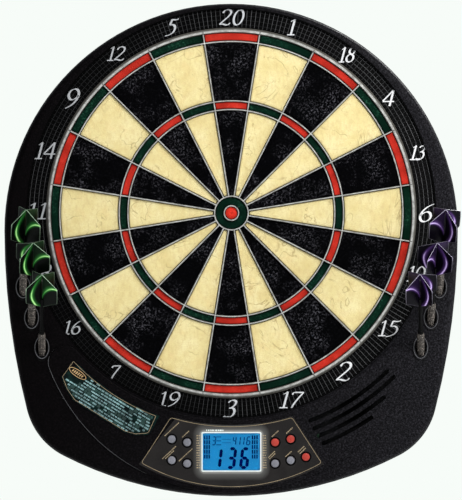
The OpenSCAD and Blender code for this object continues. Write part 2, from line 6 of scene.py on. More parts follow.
import bpy
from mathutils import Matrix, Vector


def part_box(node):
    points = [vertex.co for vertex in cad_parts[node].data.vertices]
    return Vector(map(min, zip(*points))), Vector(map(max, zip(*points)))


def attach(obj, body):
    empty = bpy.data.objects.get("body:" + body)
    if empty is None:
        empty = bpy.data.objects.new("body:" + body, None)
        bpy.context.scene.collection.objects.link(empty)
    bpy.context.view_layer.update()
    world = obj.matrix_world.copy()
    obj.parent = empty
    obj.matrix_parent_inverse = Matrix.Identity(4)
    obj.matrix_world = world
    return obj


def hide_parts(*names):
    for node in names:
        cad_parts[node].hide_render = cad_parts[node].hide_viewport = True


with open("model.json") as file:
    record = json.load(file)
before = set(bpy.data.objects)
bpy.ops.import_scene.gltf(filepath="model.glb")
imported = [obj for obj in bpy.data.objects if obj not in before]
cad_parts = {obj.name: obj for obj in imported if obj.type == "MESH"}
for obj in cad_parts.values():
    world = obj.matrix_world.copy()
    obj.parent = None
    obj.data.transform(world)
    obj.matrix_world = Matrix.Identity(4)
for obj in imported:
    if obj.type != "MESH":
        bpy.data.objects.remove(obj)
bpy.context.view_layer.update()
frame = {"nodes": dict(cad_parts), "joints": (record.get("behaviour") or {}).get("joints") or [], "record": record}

MM = 0.001
NUMBERS = (20, 1, 18, 4, 13, 6, 10, 15, 2, 17, 3, 19, 7, 16, 8, 11, 14, 9, 12, 5)
SECTOR = 360 / len(NUMBERS)


# ---- the frame
# Flat pieces are laid out on the board's face in millimetres: x to the right,
# y up, and z out of the wall. at() turns such a place into the frame's metres.

def at(x, y, z):
    return Vector((x * MM, -z * MM, y * MM))


def polar(radius, degrees):
    return (radius * math.cos(math.radians(degrees)),
            radius * math.sin(math.radians(degrees)))


def top_of(node):
    """Height of a node's front over the wall, in millimetres."""
    return -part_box(node)[0].y / MM


def foot_of(node):
    return -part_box(node)[1].y / MM


def face_box(node):
    """(low x, low y, high x, high y) of a node on the board's face."""
    low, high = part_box(node)
    return low.x / MM, low.z / MM, high.x / MM, high.z / MM


RIM_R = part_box("target_rim")[1].x / MM
RING_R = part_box("number_ring")[1].x / MM
DOUBLE_OUTER = RIM_R - 4.4
DOUBLE_INNER = 187
TREBLE_OUTER = 122.3
TREBLE_INNER = 112.8
BULL_OUTER = 18.4
BULL_INNER = 7.9
WEB_GAP = 1.35           # from the middle of a spider wall to a segment
FLANGE_GAP = 0.4
FACE_Z = top_of("segments_20")
FLANGE_Z = foot_of("segments_20")
FLANGE_TOP = FLANGE_Z + 2.1
RING_FLOOR = top_of("number_ring") - 3.6
PANEL_Z = top_of("control_panel")
APRON_Z = top_of("legend_plate") - 0.8
AXES = {j["child"]: Vector(j["axis"]).normalized() for j in frame["joints"]}


# ---- materials

def times(color, k):
    return tuple(min(1, c * k) for c in color)


class Look:
    """A Principled material and the few kinds of node that these looks need."""

    def __init__(self, name, color=(0.5, 0.5, 0.5), rough=0.5, metal=0.0, gloss=0.5):
        self.material = bpy.data.materials.new(name)
        self.material.use_nodes = True
        self.shader = self.material.node_tree.nodes["Principled BSDF"]
        self.set("Base Color", (*color, 1))
        self.set("Roughness", rough)
        self.set("Metallic", metal)
        self.set("Specular IOR Level", gloss)
        self.coords = self.node("TexCoord").outputs["Object"]

    def put(self, value, socket):
        if isinstance(value, bpy.types.NodeSocket):
            self.material.node_tree.links.new(value, socket)
        else:
            socket.default_value = value

    def set(self, socket, value):
        self.put(value, self.shader.inputs[socket])

    def color(self, value):
        self.set("Base Color", value)

    def rough(self, value):
        self.set("Roughness", value)

    def node(self, kind, inputs=(), **settings):
        made = self.material.node_tree.nodes.new("ShaderNode" + kind)
        for key, value in settings.items():
            setattr(made, key, value)
        for key, value in dict(inputs).items():
            self.put(value, made.inputs[key])
        return made

    def parts(self, vector=None):
        """Sockets X, Y and Z of a vector, or of the place on the board."""
        vector = self.coords if vector is None else vector
        return self.node("SeparateXYZ", {0: vector}).outputs

    def round_place(self):
        """Sockets for how far right and how far up the board's round a place is."""
        parts = self.parts()
        return [self.div(parts[axis], RING_R * MM) for axis in ("X", "Z")]

    def uv(self):
        parts = self.parts(self.node("TexCoord").outputs["UV"])
        return parts["X"], parts["Y"]

    def noise(self, scale, detail=2.0, rough=0.5, distortion=0.0, stretch=None):
        vector = self.coords
        if stretch:
            vector = self.node("Mapping", {"Vector": vector, "Scale": stretch}).outputs[0]
        made = self.node("TexNoise", {"Vector": vector, "Scale": scale, "Detail": detail,
                                      "Roughness": rough, "Distortion": distortion})
        return made.outputs["Fac"]

    def ramp(self, value, *stops):
        """stops are (position, colour), where a colour is a grey or three numbers."""
        made = self.node("ValToRGB", {"Fac": value})
        elements = made.color_ramp.elements
        while len(elements) < len(stops):
            elements.new(0.5)
        for element, (position, color) in zip(elements, stops):
            element.position = position
            element.color = (*(color if isinstance(color, tuple) else (color,) * 3), 1)
        return made.outputs["Color"]

    def mix(self, factor, a, b, blend="MIX"):
        made = self.node("Mix", data_type="RGBA", blend_type=blend)
        for value, socket in zip((factor, a, b), [s for s in made.inputs if s.enabled]):
            self.put((*value, 1) if isinstance(value, tuple) else value, socket)
        return [s for s in made.outputs if s.enabled][0]

    def math(self, operation, a, b=0.0, c=0.0):
        return self.node("Math", {0: a, 1: b, 2: c}, operation=operation).outputs[0]

    def vector(self, operation, a, b):
        return self.node("VectorMath", {0: a, 1: b}, operation=operation).outputs[0]

    def bump(self, height, distance, strength=1.0):
        """The last step of a look: its relief, with distance in metres."""
        made = self.node("Bump", {"Height": height, "Distance": distance,
                                  "Strength": strength})
        self.set("Normal", made.outputs[0])
        return self.material

    def skin(self):
        """The last step of a smooth look: the faint unevenness of print or plating."""
        return self.bump(self.noise(1500, 2), 0.00003, 0.35)


for method, operation in (("add", "ADD"), ("sub", "SUBTRACT"), ("mul", "MULTIPLY"),
                          ("div", "DIVIDE"), ("mul_add", "MULTIPLY_ADD"),
                          ("size", "ABSOLUTE"), ("most", "MAXIMUM"), ("root", "SQRT"),
                          ("power", "POWER")):
    setattr(Look, method, partialmethod(Look.math, operation))


def pebbled(name, color, rough=0.5, gloss=0.5, right_lit_colour=None):
    """Moulded plastic with a fine pebbled grain and faint handling marks.

    The last argument, where given, is a paler colour painted over the board's right-hand side: painted light from
    the lamps on that side.
    """
    look = Look(name, color, rough, gloss=gloss)
    cells = look.node("TexVoronoi", {"Vector": look.coords, "Scale": 620.0},
                      feature="SMOOTH_F1").outputs["Distance"]
    grain = look.add(cells, look.noise(2200, 3))
    tone = look.ramp(look.noise(28, 4), (0.3, times(color, 0.8)), (0.7, times(color, 1.25)))
    fleck = look.ramp(look.noise(560, 3, 0.65), (0.50, 0.0), (0.78, 0.6))
    if right_lit_colour:
        speck = look.ramp(look.noise(520, 3, 0.7), (0.38, 0.25), (0.52, 0.75), (0.68, 2.4))
        blotch = look.mul_add(look.noise(6, 3), 0.12, -0.06)
        # Painted light: the colour turns to the paler one towards the board's right-hand side along an uneven
        # edge, and the flecks fade out to the left with it.
        side = look.add(look.mul_add(look.parts()["X"], 2.0, 0.5), blotch)
        right_light = look.ramp(side, (0.05, 0.0), (0.45, 0.22), (0.98, 1.0))
        tone = look.mix(1.0, look.mix(right_light, tone, right_lit_colour), speck, "MULTIPLY")
        fleck = look.mul(fleck, look.mul_add(right_light, 0.95, 0.05))
    bright = look.mix(0.5, tone, (0.035, 0.034, 0.037))
    look.color(look.mix(fleck, tone, bright))
    look.rough(look.ramp(look.noise(60, 3), (0.3, rough - 0.06), (0.75, rough + 0.1)))
    return look.bump(grain, 0.00018, 0.7)


def satin(name, color, rough=0.4, variation=0.12, metal=0.0, gloss=0.5):
    """Smooth plastic or plated metal with slight cloudiness and fine scratches."""
    look = Look(name, color, rough, metal, gloss)
    look.color(look.ramp(look.noise(90, 4), (0.35, times(color, 1 - variation)),
                         (0.65, times(color, 1 + variation))))
    scratches = look.noise(700, 3, stretch=(1, 1, 0.08))
    look.rough(look.ramp(scratches, (0.35, max(0.05, rough - 0.07)), (0.7, rough + 0.1)))
    return look.skin()


def bristle_cream():
    """Undyed bristle: warm cream with faint wavy grain, blushes and hair cracks."""
    look = Look("bristle_cream", rough=0.66, gloss=0.15)
    cloud = look.ramp(look.noise(45, 4, 0.6), (0.30, (0.76, 0.62, 0.27)),
                      (0.48, (0.83, 0.71, 0.34)), (0.70, (0.89, 0.79, 0.43)))
    blush = look.ramp(look.noise(70, 3), (0.55, 0.0), (0.85, 0.45))
    tone = look.mix(blush, cloud, (0.86, 0.62, 0.27))
    wobble = look.node("TexNoise", {"Vector": look.coords, "Scale": 60.0, "Detail": 3.0})
    shift = look.vector("MULTIPLY", wobble.outputs["Color"], (0.02, 0.02, 0.02))
    grain = look.node("TexWave", {"Vector": look.vector("ADD", look.coords, shift),
                                  "Scale": 150.0, "Distortion": 6.0, "Detail": 3.0,
                                  "Detail Scale": 2.0}, bands_direction="Z")
    grain = look.ramp(grain.outputs["Fac"], (0.5, 0.0), (1.0, 0.28))
    tone = look.mix(grain, tone, (0.72, 0.56, 0.26))
    contour = look.size(look.sub(look.noise(24, 3, 0.55, 1.2), 0.5))
    crack = look.ramp(contour, (0.0, 1.0), (0.012, 0.0))
    crack = look.mul(crack, look.ramp(look.noise(48, 2), (0.42, 0.0), (0.58, 0.8)))
    fibre = look.ramp(look.noise(380, 5, 0.75, stretch=(1, 1, 0.45)), (0.45, 0.0), (0.70, 0.58))
    tone = look.mix(fibre, tone, (0.66, 0.49, 0.22))
    look.color(look.mix(crack, tone, (0.45, 0.33, 0.14)))
    return look.bump(look.sub(look.noise(800, 4, 0.7), crack), 0.00035, 0.7)


def bristle(name, base, fleck, amount):
    """Dyed bristle: a deep base with paler fibres in soft patches."""
    look = Look(name, base, 0.6, gloss=0.02)
    fibres = look.ramp(look.noise(430, 5, 0.72, 0.6), (0.52, 0.0), (0.70, 1.0))
    patches = look.ramp(look.noise(30, 4, 0.62), (0.45, 0.03), (0.63, 1.0))
    mask = look.mul(look.mul(fibres, patches), amount)
    tone = look.ramp(look.noise(60, 3), (0.35, times(base, 0.7)), (0.7, times(base, 1.2)))
    look.color(look.mix(mask, tone, fleck))
    return look.bump(look.noise(800, 4, 0.7), 0.00035, 0.8)


def wire(name, lit_crest, shaded_flank):
    """Plated wire, with a painted highlight along its crest and painted shade down its flanks."""
    look = Look(name, lit_crest, 0.34, gloss=0.4)
    depth = 3 * MM
    # Painted highlight and shade: pale at the wall's top, dimmer lower down.
    below = look.add(look.mul(look.parts()["Y"], -1), depth - top_of("spider") * MM)
    tone = look.ramp(look.div(below, depth), (0.45, shaded_flank), (0.97, lit_crest))
    stain = look.ramp(look.noise(160, 4, 0.65), (0.38, 0.0), (0.68, 0.62))
    look.color(look.mix(stain, tone, shaded_flank))
    return look.skin()


def ring_plastic():
    """Glossless black, painted paler towards the board's right-hand side as light falling there."""
    look = Look("ring_black", rough=0.55, gloss=0.03)
    side = look.mul_add(look.round_place()[0], 0.5, 0.5)
    # Painted light: the black turns paler to the right.
    tone = look.ramp(side, (0.10, 0.0004), (0.55, 0.0007), (0.98, 0.0040))
    cloud = look.ramp(look.noise(90, 4), (0.35, 0.0), (0.65, 0.25))
    look.color(look.mix(cloud, tone, (0.002, 0.002, 0.0022)))
    return look.skin()


def rib_plastic(name):
    """The ribs' tops with painted sheen: spokes lit above, below and at the lower right, hoops at the sides.
    Painted shade dims the spokes' lower left, the hoops' bottom and the upper left of both, and painted light
    makes both paler to the right.
    """
    look = Look(name, rough=0.4, gloss=0.2)
    right, up = look.round_place()
    # Spokes: painted sheen above, below and at the lower right, painted shade at the lower left.
    if name == "ring_spoke":
        rib_sheen = look.ramp(look.size(up), (0.30, 0.06), (0.72, 0.30), (0.93, 0.85))
        corner = look.mul(look.sub(right, up), 0.707)
        rib_sheen = look.most(rib_sheen, look.ramp(corner, (0.78, 0.0), (0.95, 0.9)))
        shade = look.mul(look.add(right, up), -0.707)
        rib_sheen = look.mul(rib_sheen, look.ramp(shade, (0.62, 1.0), (0.88, 0.10)))
    # Hoops: painted sheen at the sides, dim at the top and bottom.
    else:
        rib_sheen = look.mul(look.ramp(look.mul_add(up, 0.5, 0.5), (0.27, 0.06), (0.40, 1.0)),
                        look.ramp(look.size(right), (0.15, 0.10), (0.62, 0.75), (0.9, 0.9)))
    patchy = look.ramp(look.noise(55, 4, 0.6), (0.36, 0.45), (0.62, 1.0))
    # Painted shade over the upper left; painted light makes the ribs paler towards the right.
    upper_left_shade = look.ramp(look.mul(look.sub(up, right), 0.707), (0.83, 1.0), (0.93, 0.25))
    rib_sheen = look.mul(look.mul(rib_sheen, patchy), upper_left_shade)
    pale = look.ramp(right, (0.35, (0.120, 0.120, 0.125)), (0.85, (0.200, 0.200, 0.205)))
    look.color(look.mix(rib_sheen, (0.0016, 0.0016, 0.0018), pale))
    return look.skin()


def numeral_print():
    """White print, painted darker and greyer towards the board's left-hand side as shade."""
    look = Look("numeral_print", rough=0.4, gloss=0.2)
    # Painted shade: the print greys towards the left and is white on the right.
    side = look.mul_add(look.round_place()[0], 0.5, 0.5)
    tone = look.ramp(side, (0.05, (0.40, 0.41, 0.42)), (0.5, (0.56, 0.57, 0.59)), (0.95, 0.95))
    cloud = look.ramp(look.noise(120, 4), (0.40, 0.0), (0.70, 0.30))
    look.color(look.mix(cloud, tone, (0.36, 0.36, 0.37)))
    return look.skin()


def glowing(name, color, strength):
    look = Look(name, color, 0.3)
    tone = look.ramp(look.noise(30, 2), (0.3, times(color, 0.9)), (0.7, color))
    look.color(tone)
    look.set("Emission Color", tone)
    look.set("Emission Strength", strength)
    return look.material


def panel_film():
    """Dark printed film, with a painted glow round the display window as if its backlight spilled onto it."""
    look = Look("panel_film", rough=0.42, gloss=0.15)
    x0, y0, x1, y1 = (v * MM for v in face_box("lcd_window"))
    parts = look.parts(look.vector("SUBTRACT", look.coords, ((x0 + x1) / 2, 0, (y0 + y1) / 2)))
    squares = []
    for axis, half in (("X", (x1 - x0) / 2), ("Z", (y1 - y0) / 2)):
        away = look.most(look.sub(look.size(parts[axis]), half - 2 * MM), 0.0)
        squares.append(look.mul(away, away))
    distance = look.div(look.root(look.add(*squares)), 13 * MM)
    # Painted glow: pale at the window's edge, fading out over about 13 mm.
    glow = look.ramp(distance, (0.0, 0.85), (0.20, 0.48), (0.48, 0.10), (1.0, 0.0))
    base = look.ramp(look.noise(50, 3), (0.3, (0.011, 0.0095, 0.009)),
                     (0.7, (0.018, 0.016, 0.015)))
    fleck = look.ramp(look.noise(1500, 2), (0.5, 0.0), (0.8, 0.35))
    base = look.mix(fleck, base, (0.045, 0.041, 0.039))
    look.color(look.mix(glow, base, (0.80, 0.80, 0.75)))
    return look.bump(look.noise(1800, 2), 0.00004, 0.4)


def legend_film():
    """Near-black print with a teal cast that comes and goes."""
    look = Look("legend_film", rough=0.4, gloss=0.08)
    look.color(look.ramp(look.noise(110, 4, 0.6), (0.36, (0.0008, 0.0020, 0.0022)),
                         (0.52, (0.0016, 0.0075, 0.0070)), (0.72, (0.003, 0.020, 0.015))))
    return look.bump(look.noise(1500, 2), 0.00003, 0.3)


def flight_film(name, pattern, bright, glow, tint, dark):
    """Black film with one soft-edged bright band on each wing; the film also gives off its own colour, a painted
    glow.

    The wing's UVs run out from the axis (U) and from its front to its tail (V).
    A crescent bulges out from the axis and back; a sweep climbs from the axis to
    the wing's outer corner and leaves a tinted film on its tail side. A plain wing
    is only tinted.
    """
    look = Look(name, rough=0.34, gloss=0.05)
    u, v = look.uv()
    creases = (look.noise(120, 2), 0.0004, 0.25)
    if pattern == "plain":
        look.color(look.ramp(v, (0.0, dark), (0.55, dark), (1.0, tint)))
        return look.bump(*creases)
    if pattern == "crescent":
        a = look.power(look.div(u, 0.66), 2.0)
        b = look.mul_add(v, 1.9, -0.82)
        offset = look.sub(look.root(look.add(a, look.mul(b, b))), 1.0)
        outside, inside, haze = 1.7, -0.85, 0.0
        fade = look.ramp(v, (0.0, 1.0), (0.55, 0.8), (1.0, 0.12))
    else:
        offset = look.sub(v, look.mul_add(look.power(u, 0.7), 0.66, 0.28))
        outside, inside, haze = 1.6, -2.8, 0.35
        fade = look.ramp(u, (0.0, 0.45), (0.5, 0.75), (1.0, 1.0))
    spread = look.most(look.mul(offset, outside), look.mul(offset, inside))
    band = look.ramp(look.mul(spread, 3.2), (0.0, 1.0), (0.20, 0.72), (0.50, 0.20), (1.0, 0.0))
    band = look.mul(band, fade)
    veil = look.mul(look.ramp(offset, (0.0, 0.0), (0.12, 1.0)), haze)
    tone = look.mix(band, look.mix(veil, dark, tint), bright)
    tone = look.mix(look.ramp(band, (0.45, 0.0), (0.95, 1.0)), tone, glow)
    look.color(tone)
    # Painted glow: the flight gives off its own colour, though it is no lamp.
    look.set("Emission Color", tone)
    look.set("Emission Strength", 0.30)
    return look.bump(*creases)


def flight_edge(name, color):
    """A flight's sealed edge, with a painted highlight across its tail and painted shade at its sides and front.
    """
    look = Look(name, rough=0.3, gloss=0.2)
    look.color(look.ramp(look.uv()[1], (0.0, times(color, 0.12)), (0.75, times(color, 0.28)),
                         (0.98, color)))
    look.rough(look.ramp(look.noise(400, 2), (0.3, 0.25), (0.7, 0.4)))
    return look.material


def knurled(name, color):
    """Turned metal with a diamond knurl: bright worn points over dark valleys."""
    look = Look(name, color, 0.42, 0.35)
    cells = look.node("TexVoronoi", {"Vector": look.coords, "Scale": 560.0,
                                     "Randomness": 0.35}).outputs["Distance"]
    valley = times(color, 0.3)
    points = look.ramp(cells, (0.18, times(color, 2.4)), (0.42, valley))
    grime = look.ramp(look.noise(220, 3), (0.4, 0.35), (0.62, 0.0))
    look.color(look.mix(grime, points, valley))
    return look.bump(cells, 0.0003, -0.8)


def clear_acrylic():
    look = Look("clear_acrylic", (0.93, 0.97, 1.0), 0.06, gloss=0.06)
    look.set("Transmission Weight", 1.0)
    look.set("IOR", 1.06)
    look.rough(look.ramp(look.noise(40, 3), (0.4, 0.04), (0.7, 0.10)))
    return look.material


# Colour, roughness, cloudiness, metal and gloss.
SATIN = {
    "edge_sheen": ((0.085, 0.085, 0.090), 0.35, 0.25),
    "print_black": ((0.0008, 0.0008, 0.0009), 0.6, 0.12, 0.0, 0.05),
    "hardboard": ((0.22, 0.14, 0.07), 0.8, 0.3),
    "membrane_film": ((0.50, 0.54, 0.46), 0.35),
    "rubber_black": ((0.02, 0.02, 0.02), 0.7),
    "gold_print": ((0.36, 0.28, 0.17), 0.35, 0.2),
    "badge_gold": ((0.56, 0.37, 0.17), 0.35, 0.2),
    "legend_light": ((0.0065, 0.036, 0.030), 0.4, 0.4),
    "legend_print": ((0.20, 0.34, 0.345), 0.4, 0.6),
    "lcd_ink": ((0.0, 0.004, 0.085), 0.6, 0.12, 0.0, 0.0),
    "lcd_faint": ((0.0, 0.028, 0.16), 0.6, 0.12, 0.0, 0.0),
    "lcd_bar": ((0.0, 0.012, 0.105), 0.6, 0.12, 0.0, 0.0),
    # Painted shade: the board's green is darkened to read as shade where it shows through the housing's slots.
    "board_green": ((0.006, 0.045, 0.016), 0.45),
    "silicone_grey": ((0.42, 0.40, 0.36), 0.5),
    "speaker_black": ((0.0015, 0.0015, 0.0015), 0.7, 0.12, 0.0, 0.03),
    "ribbon_white": ((0.62, 0.62, 0.58), 0.5),
    "contact_nickel": ((0.62, 0.60, 0.56), 0.25, 0.1, 1.0),
    "battery_jacket": ((0.35, 0.20, 0.03), 0.3),
    "screw_steel": ((0.42, 0.42, 0.43), 0.3, 0.15, 1.0),
    "dart_shaft": ((0.0012, 0.0012, 0.0012), 0.4, 0.12, 0.0, 0.06),
    "dart_tip": ((0.62, 0.62, 0.60), 0.3),
}
# Colour, roughness, gloss and, where given, the paler colour painted as light on the board's right-hand side.
PEBBLED = {
    "casing_black": ((0.0075, 0.0075, 0.0082), 0.45, 0.4),
    "casing_charcoal": ((0.0016, 0.0010, 0.0013), 0.5, 0.035, (0.014, 0.0135, 0.016)),
    "socket_black": ((0.0016, 0.0014, 0.0016), 0.5, 0.06, (0.011, 0.0105, 0.012)),
    "button_grey": ((0.21, 0.21, 0.24), 0.4),
    "button_red": ((0.42, 0.030, 0.016), 0.4),
}
LOOKS = {
    "ring_black": ring_plastic(),
    "ring_spoke": rib_plastic("ring_spoke"),
    "ring_hoop": rib_plastic("ring_hoop"),
    "spider_silver": wire("spider_silver", (0.54, 0.54, 0.51), (0.075, 0.070, 0.060)),
    "target_black": bristle("bristle_black", (0.0005, 0.0005, 0.0009),
                            (0.185, 0.178, 0.205), 0.68),
    "target_cream": bristle_cream(),
    "target_red": bristle("bristle_red", (0.56, 0.030, 0.018), (0.80, 0.14, 0.09), 0.4),
    "target_green": bristle("bristle_green", (0.0022, 0.017, 0.0095), (0.032, 0.14, 0.080),
                            0.9),
    "bull_red": bristle("bristle_bull", (0.78, 0.040, 0.022), (0.92, 0.12, 0.07), 0.3),
    "panel_dark": panel_film(),
    "white_print": numeral_print(),
    "legend_green": legend_film(),
    "window_clear": clear_acrylic(),
    "lcd_blue": glowing("lcd_blue", (0.0, 0.205, 0.46), 0.32),
    "lamp_white": glowing("lamp_white", (0.72, 0.79, 0.76), 0.25),
    "dart_metal": knurled("dart_metal", (0.17, 0.145, 0.125)),
}
for maker, table in ((satin, SATIN), (pebbled, PEBBLED)):
    LOOKS.update((name, maker(name, *values)) for name, values in table.items())
# The record's slot of each look that isn't named after one.
for row in frame["record"]["subparts"]:
    cad_node = frame["nodes"][row["node"]]
    cad_node.data.materials.clear()
    cad_node.data.materials.append(LOOKS[row["material_slot"]])


# ---- geometry

SINK = 0.02              # how far a thin mark reaches into the face it stands on


def add_object(name, data):
    made = bpy.data.objects.new(name, data)
    bpy.context.scene.collection.objects.link(made)
    return made


def piece(name, points, faces, look, body="root", smooth=False, stands_for=(), slot=None,
          uvs=None):
    mesh = bpy.data.meshes.new(name)
    mesh.from_pydata([tuple(p) for p in points], [], faces)
    mesh.validate()
    mesh.materials.append(LOOKS[look] if isinstance(look, str) else look)
    mesh.shade_smooth() if smooth else mesh.shade_flat()
    if uvs:
        layer = mesh.uv_layers.new(name="UVMap")
        for loop in mesh.loops:
            layer.data[loop.index].uv = uvs[loop.vertex_index]
    made = add_object(name, mesh)
    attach(made, body)
    if stands_for:
        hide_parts(*stands_for)
    return made


def across(a, b, reach):
    """A step of the given reach to the left of the way from a to b."""
    angle = math.atan2(b[1] - a[1], b[0] - a[0])
    return -math.sin(angle) * reach, math.cos(angle) * reach


class Build:
    """Gathers points and faces for one piece."""

    def __init__(self):
        self.points = []
        self.faces = []

    def wrap(self, rings, laps):
        """Joins each ring of points to the next one, and the last to the first."""
        start, n, count = len(self.points), len(rings[0]), len(rings)
        self.points += [p for ring in rings for p in ring]
        for j in range(laps):
            low, high = start + j * n, start + (j + 1) % count * n
            self.faces += [(low + i, low + (i + 1) % n, high + (i + 1) % n, high + i)
                           for i in range(n)]

    def stack(self, rings, capped=True):
        """A skin over rings of points from foot to top, closed at its foot."""
        foot, n = len(self.points), len(rings[0])
        self.wrap(rings, len(rings) - 1)
        self.faces.append(tuple(range(foot + n - 1, foot - 1, -1)))
        if capped:
            self.faces.append(tuple(range(len(self.points) - n, len(self.points))))

    def bar(self, a, b, width, z0, z1, chamfer=0.0):
        """A straight bar on the board's face between two places."""
        nx, ny = across(a, b, width / 2)
        hx, hy = (b[0] - a[0]) / 2, (b[1] - a[1]) / 2
        corners = ((-hx - nx, -hy - ny), (hx - nx, hy - ny), (hx + nx, hy + ny),
                   (nx - hx, ny - hy))
        levels = [(1, z0), (1, z1)]
        if chamfer:
            top = max(0, 1 - chamfer * 1.4 / math.hypot(hx - nx, hy - ny))
            levels = [(1, z0), (1, z1 - chamfer), (top, z1)]
        self.stack([[at(a[0] + hx + k * x, a[1] + hy + k * y, z) for x, y in corners]
                    for k, z in levels])

    def hoop(self, radius, width, z0, z1, steps=240, chamfer=0.0):
        """A ring of rectangular section about the bull."""
        inner, outer = radius - width / 2, radius + width / 2
        section = [(inner, z0), (outer, z0), (outer, z1 - chamfer), (outer - chamfer, z1),
                   (inner + chamfer, z1), (inner, z1 - chamfer)]
        self.turn(section, steps)

    def turn(self, section, steps, middle=(0, 0)):
        """A closed (radius, z) section swept round the bull or another place."""
        spokes = [polar(1, 360 * i / steps) for i in range(steps)]
        self.wrap([[at(middle[0] + r * x, middle[1] + r * y, z) for r, z in section]
                   for x, y in spokes], steps)

    def done(self, name, look, **options):
        return piece(name, self.points, self.faces, look, **options)


def catmull(points, steps=7):
    """A smooth curve through three points or more."""
    path = [points[0]] + list(points) + [points[-1]]
    out = []
    for i in range(1, len(path) - 2):
        p0, p1, p2, p3 = path[i - 1:i + 3]
        for k in range(steps):
            t = k / steps
            out.append(tuple(
                0.5 * (2 * b + (c - a) * t + (2 * a - 5 * b + 4 * c - d) * t * t
                       + (3 * b - a - 3 * c + d) * t ** 3)
                for a, b, c, d in zip(p0, p1, p2, p3)))
    return out + [tuple(points[-1])]


def border(rows, columns):
    """The (row, column) places round a grid, in order."""
    return ([(0, i) for i in range(columns)] + [(j, columns) for j in range(rows)]
            + [(rows, columns - i) for i in range(columns)]
            + [(rows - j, 0) for j in range(rows)])


# ---- target

def segment(name, body, r0, r1, middle, look):
    """One target segment: rough crowned face, rounded edges, and its flange."""
    rows = max(4, round((r1 - r0) / 2.6))
    columns = max(6, round(math.radians(SECTOR) * r1 / 2.8))
    seed = sum(ord(c) for c in name) * 0.37

    def grid_place(gap, j, i):
        """A place in the sector, on a grid that stands gap off its four sides."""
        inner, outer = r0 + gap, min(r1, DOUBLE_OUTER) - gap
        r = inner + (outer - inner) * j / rows
        half = math.radians(SECTOR / 2) - math.asin(min(1, gap / r))
        angle = math.radians(middle) + (-1 + 2 * i / columns) * half
        return r * math.cos(angle), r * math.sin(angle)

    build = Build()
    edge = border(rows, columns)
    flange = FLANGE_GAP if r1 < DOUBLE_OUTER - 1 else FLANGE_GAP + 1
    levels = [(flange, FLANGE_Z), (flange, FLANGE_TOP), (WEB_GAP, FLANGE_TOP)]
    levels += [(WEB_GAP + inset, FACE_Z - drop)
               for inset, drop in ((0.0, 0.75), (0.22, 0.30), (0.75, 0.0))]
    build.stack([[at(*grid_place(gap, j, i), z) for j, i in edge] for gap, z in levels],
                capped=False)
    crown_gap = levels[-1][0]
    index = {place: len(build.points) - len(edge) + k for k, place in enumerate(edge)}
    for j in range(1, rows):
        for i in range(1, columns):
            x, y = grid_place(crown_gap, j, i)
            rough = 0.09 * math.sin(x * 0.9 + seed) * math.sin(y * 0.8 + seed * 2)
            rough += 0.06 * math.sin(x * 2.3 - y * 1.7 + seed * 3)
            index[(j, i)] = len(build.points)
            build.points.append(at(x, y, FACE_Z - 0.15 + rough))
    build.faces += [(index[(j, i)], index[(j, i + 1)], index[(j + 1, i + 1)],
                     index[(j + 1, i)]) for j in range(rows) for i in range(columns)]
    build.done(name, look, body=body, smooth=True, stands_for=(body,))


def make_segments():
    for i, number in enumerate(NUMBERS):
        if i % 2:
            single, scoring = "target_cream", "target_green"
        else:
            single, scoring = "target_black", "target_red"
        for band, r0, r1, look in (("double", DOUBLE_INNER, DOUBLE_OUTER, scoring),
                                   ("outer_single", TREBLE_OUTER, DOUBLE_INNER, single),
                                   ("treble", TREBLE_INNER, TREBLE_OUTER, scoring),
                                   ("inner_single", BULL_OUTER, TREBLE_INNER, single)):
            segment(f"{band}_{number}", f"segments_{number}", r0, r1, 90 - SECTOR * i, look)


def make_bulls():
    edge = ((FLANGE_GAP, FLANGE_Z), (FLANGE_GAP, FLANGE_TOP), (WEB_GAP, FLANGE_TOP),
            (WEB_GAP, FACE_Z - 0.6), (WEB_GAP + 0.2, FACE_Z - 0.2), (WEB_GAP + 0.6, FACE_Z))
    for name, r0, r1, look in (("outer_bull", BULL_INNER, BULL_OUTER, "target_green"),
                               ("inner_bull", 0, BULL_INNER, "bull_red")):
        section = [(r1 - inset, z) for inset, z in edge]
        if r0:
            section += [(r0 + inset, z) for inset, z in reversed(edge)]
        else:
            section += [((r1 - WEB_GAP) / 2, FACE_Z + 0.1), (0.05, FACE_Z + 0.15),
                        (0.05, FLANGE_Z)]
        build = Build()
        build.turn(section, 72)
        build.done(name + "_segment", look, body=name, smooth=True, stands_for=(name,))


def bevel(made, width, segments=2, angle=35):
    """Rounds sharp edges a little, with smooth shading between them."""
    made.data.shade_smooth()
    modifier = made.modifiers.new("soft_edges", "BEVEL")
    modifier.width = width * MM
    modifier.segments = segments
    modifier.limit_method = "ANGLE"
    modifier.angle_limit = math.radians(angle)
    modifier.harden_normals = True
    return made


# ---- number ring

def make_ring_ribs():
    """A raised grid over the number ring's floor: fourteen spokes a number, four hoops."""
    spokes, inner, outer = 280, RIM_R + 0.8, RING_R - 1.0
    height, width = 0.5, 0.42
    build = Build()
    for i in range(spokes):
        angle = 360 * (i + 0.5) / spokes
        build.bar(polar(inner, angle), polar(outer, angle), width, RING_FLOOR - 0.05,
                  RING_FLOOR + height, 0.12)
    build.done("ring_spokes", "ring_spoke")
    build = Build()
    for k in range(4):
        build.hoop(inner + 3.1 + 4.75 * k, width, RING_FLOOR - 0.05,
                   RING_FLOOR + height - 0.1, 300, 0.1)
    build.done("ring_hoops", "ring_hoop")


# Each digit is drawn with a broad nib in a box one unit high. A stroke is a list
# of places.
def oval(cx, cy, rx, ry, start=90, turn=360, n=14):
    return [(cx + rx * math.cos(math.radians(start + turn * k / n)),
             cy + ry * math.sin(math.radians(start + turn * k / n))) for k in range(n + 1)]


